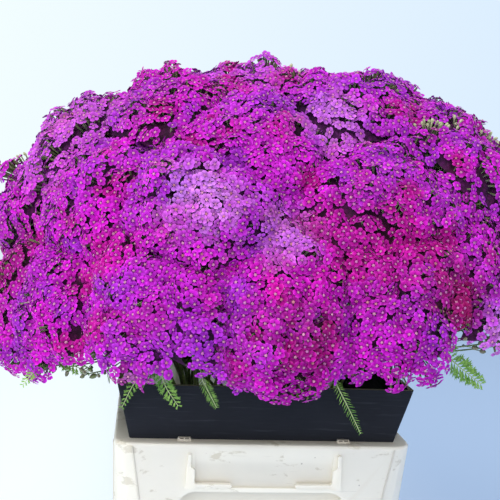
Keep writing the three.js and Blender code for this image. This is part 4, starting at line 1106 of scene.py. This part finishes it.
def shapeEdges(mesh):
    spec = softEdge
    shape = bmesh.new()
    shape.from_mesh(mesh)
    bmesh.ops.remove_doubles(shape, verts=shape.verts, dist=spec["weld"])
    flat = math.radians(spec["flat"])
    bmesh.ops.dissolve_limit(shape, angle_limit=flat, verts=shape.verts, edges=shape.edges)
    # the crease where a flat side meets its rounded corner stays crisp
    bevel = shape.edges.layers.float.new("bevel_weight_edge")
    for edge in shape.edges:
        if len(edge.link_faces) == 2:
            turn = math.degrees(edge.calc_face_angle(0))
            rise = abs((edge.verts[0].co - edge.verts[1].co).normalized().z)
            edge.smooth = not (rise > spec["upright"] and spec["crease"][0] < turn < spec["crease"][1])
            if turn > spec["sharpest"]:
                outer = all(onRim(v.co) for v in edge.verts)
                edge[bevel] = 1.0 if outer else spec["elsewhere"] / spec["rim"]
    shape.to_mesh(mesh)
    shape.free()
    if "custom_normal" in mesh.attributes:
        mesh.attributes.remove(mesh.attributes["custom_normal"])
    for polygon in mesh.polygons:
        polygon.use_smooth = True


def makeContainer():
    plastic = mouldedPolypropylene()
    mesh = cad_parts["container"].data.copy()
    mesh.materials.clear()
    mesh.materials.append(plastic)
    piece = bpy.data.objects.new("pailBody", mesh)
    bpy.context.scene.collection.objects.link(piece)
    shapeEdges(mesh)
    soften = piece.modifiers.new("softEdges", "BEVEL")
    soften.width = softEdge["rim"]
    soften.segments = softEdge["segments"]
    soften.limit_method = "WEIGHT"
    soften.harden_normals = False
    even = piece.modifiers.new("evenShading", "WEIGHTED_NORMAL")
    even.keep_sharp = True
    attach(piece, "root")
    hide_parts("container")
    makeClips(plastic)
    makeRibs(plastic)
    print("yarrow: container")


# Corrugated board with a black printed liner: matt, with faint lines over the flutes inside it
def printedLiner():
    material, tree, shader, where = newMaterial("printedLiner", Roughness=0.85, IOR=1.45,
                                                Specular_IOR_Level=0.16)
    cloud = add(tree, "TexNoise", {"Vector": where, "Scale": 1 / 0.05, "Detail": 5.0})
    tint = add(tree, "Mix", {"Factor": cloud, "A": "#1b1e25", "B": "#272a33"}, data_type="RGBA")
    drawn = add(tree, "Mapping", {"Vector": where, "Scale": (25.0, 25.0, 420.0)})
    scuffs = add(tree, "TexNoise", {"Vector": drawn, "Scale": 1.0, "Detail": 5.0})
    worn = blended(tree, scuffs, 0.6, 0.8, tint, "#4d525c", end=0.35)
    # flutes 4 mm apart show through the liner as soft level lines
    height = add(tree, "SeparateXYZ", {"Vector": where}).outputs["Z"]
    phase = add(tree, "Math", {0: height, 1: tau / 0.004}, operation="MULTIPLY")
    flutes = add(tree, "Math", {0: phase}, operation="SINE")
    fluted = add(tree, "Bump", {"Height": flutes, "Strength": 0.35, "Distance": 0.00015})
    dents = add(tree, "Bump", {"Height": scuffs, "Normal": fluted, "Strength": 0.4, "Distance": 0.0008})
    feed(shader, {"Base Color": worn, "Normal": dents})
    return material


collar = dict(thickness=0.004, cornerRadius=0.003, cornerSteps=4, rows=12, endSteps=44, sideSteps=60,
              sideFrom=0.3, dent=0.0006, dentAcross=14, dentUp=30, sharp=50)


# The collar's outline at one height: four rounded corners with even steps between them
def collarLoop(halfX, halfY, radius):
    corners = [(1, 1), (-1, 1), (-1, -1), (1, -1)]

    def onCorner(quarter, turned):
        sx, sy = corners[quarter % 4]
        angle = (quarter + turned) * math.pi / 2
        return np.array(((halfX - radius) * sx + radius * math.cos(angle),
                         (halfY - radius) * sy + radius * math.sin(angle)))

    points = []
    for quarter in range(4):
        points += [onCorner(quarter, k / collar["cornerSteps"]) for k in range(collar["cornerSteps"] + 1)]
        last, following = points[-1], onCorner(quarter + 1, 0)
        along = abs(following - last).max()
        count = collar["sideSteps"] if along > collar["sideFrom"] else collar["endSteps"]
        points += [last + (following - last) * k / count for k in range(1, count)]
    return np.array(points)


def makeCollar():
    # the board's cut edge: grey-brown fibre, open and rough
    cutEdge = mottled("cutBoardEdge", "#6a6158", "#c2b7a6", 0.0025, 4.0, (0.8, 0.0008), Roughness=0.95,
                      IOR=1.45)
    foot = container["height"]
    halfX = container["width"] / 2 - container["ledgeShown"]
    halfY = container["length"] / 2 - container["ledgeShown"]
    rows = collar["rows"]
    levels = [(k / rows, 0) for k in range(rows + 1)]
    levels += [(k / rows, collar["thickness"]) for k in range(rows, -1, -1)]
    rings = []
    for share, inwards in levels:
        out = container["flare"] * share - inwards
        flat = collarLoop(halfX + out, halfY + out, collar["cornerRadius"])
        rings.append(np.column_stack([flat, np.full(len(flat), foot + container["collarHeight"] * share)]))
    points = np.concatenate(rings)
    share = np.clip((points[:, 2] - foot) / container["collarHeight"], 0, 1)
    wave = np.array([collar["dentAcross"], collar["dentAcross"], collar["dentUp"]])
    push = np.array([noise.noise(Vector(p * wave)) for p in points])
    onSide = abs(points[:, 0]) / halfX > abs(points[:, 1]) / halfY
    out = np.sign(points) * np.column_stack([onSide, ~onSide, np.zeros(len(points))])
    points = points + out * (push * share * collar["dent"])[:, None]
    sides, count = len(rings[0]), len(levels)
    k = np.arange(sides)
    after = (k + 1) % sides
    faces, slots = [], []
    for r in range(count):
        low, high = r * sides, (r + 1) % count * sides
        faces.append(np.stack([low + k, low + after, high + after, high + k], 1))
        slots.append(np.full(sides, 1 if r in (rows, count - 1) else 0))
    piece = newPiece("boardCollar", points, np.concatenate(faces).tolist(), [printedLiner(), cutEdge],
                     np.concatenate(slots), replaces=["collar"], slot="cardboard")
    piece.data.set_sharp_from_angle(angle=math.radians(collar["sharp"]))
    print("yarrow: collar")


# Flower water: clear, slightly green from the stems
def dressWater():
    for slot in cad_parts["water"].material_slots:
        slot.material = mottled("flowerWater", "#e3efe6", "#d5e6d6", 0.03, 1.0, (0.1, 0.001), Roughness=0.03,
                                IOR=1.333, Transmission_Weight=1.0)


makeCamera()
makeStudio()
makeStems(makeHeads())
makeContainer()
makeCollar()
dressWater()
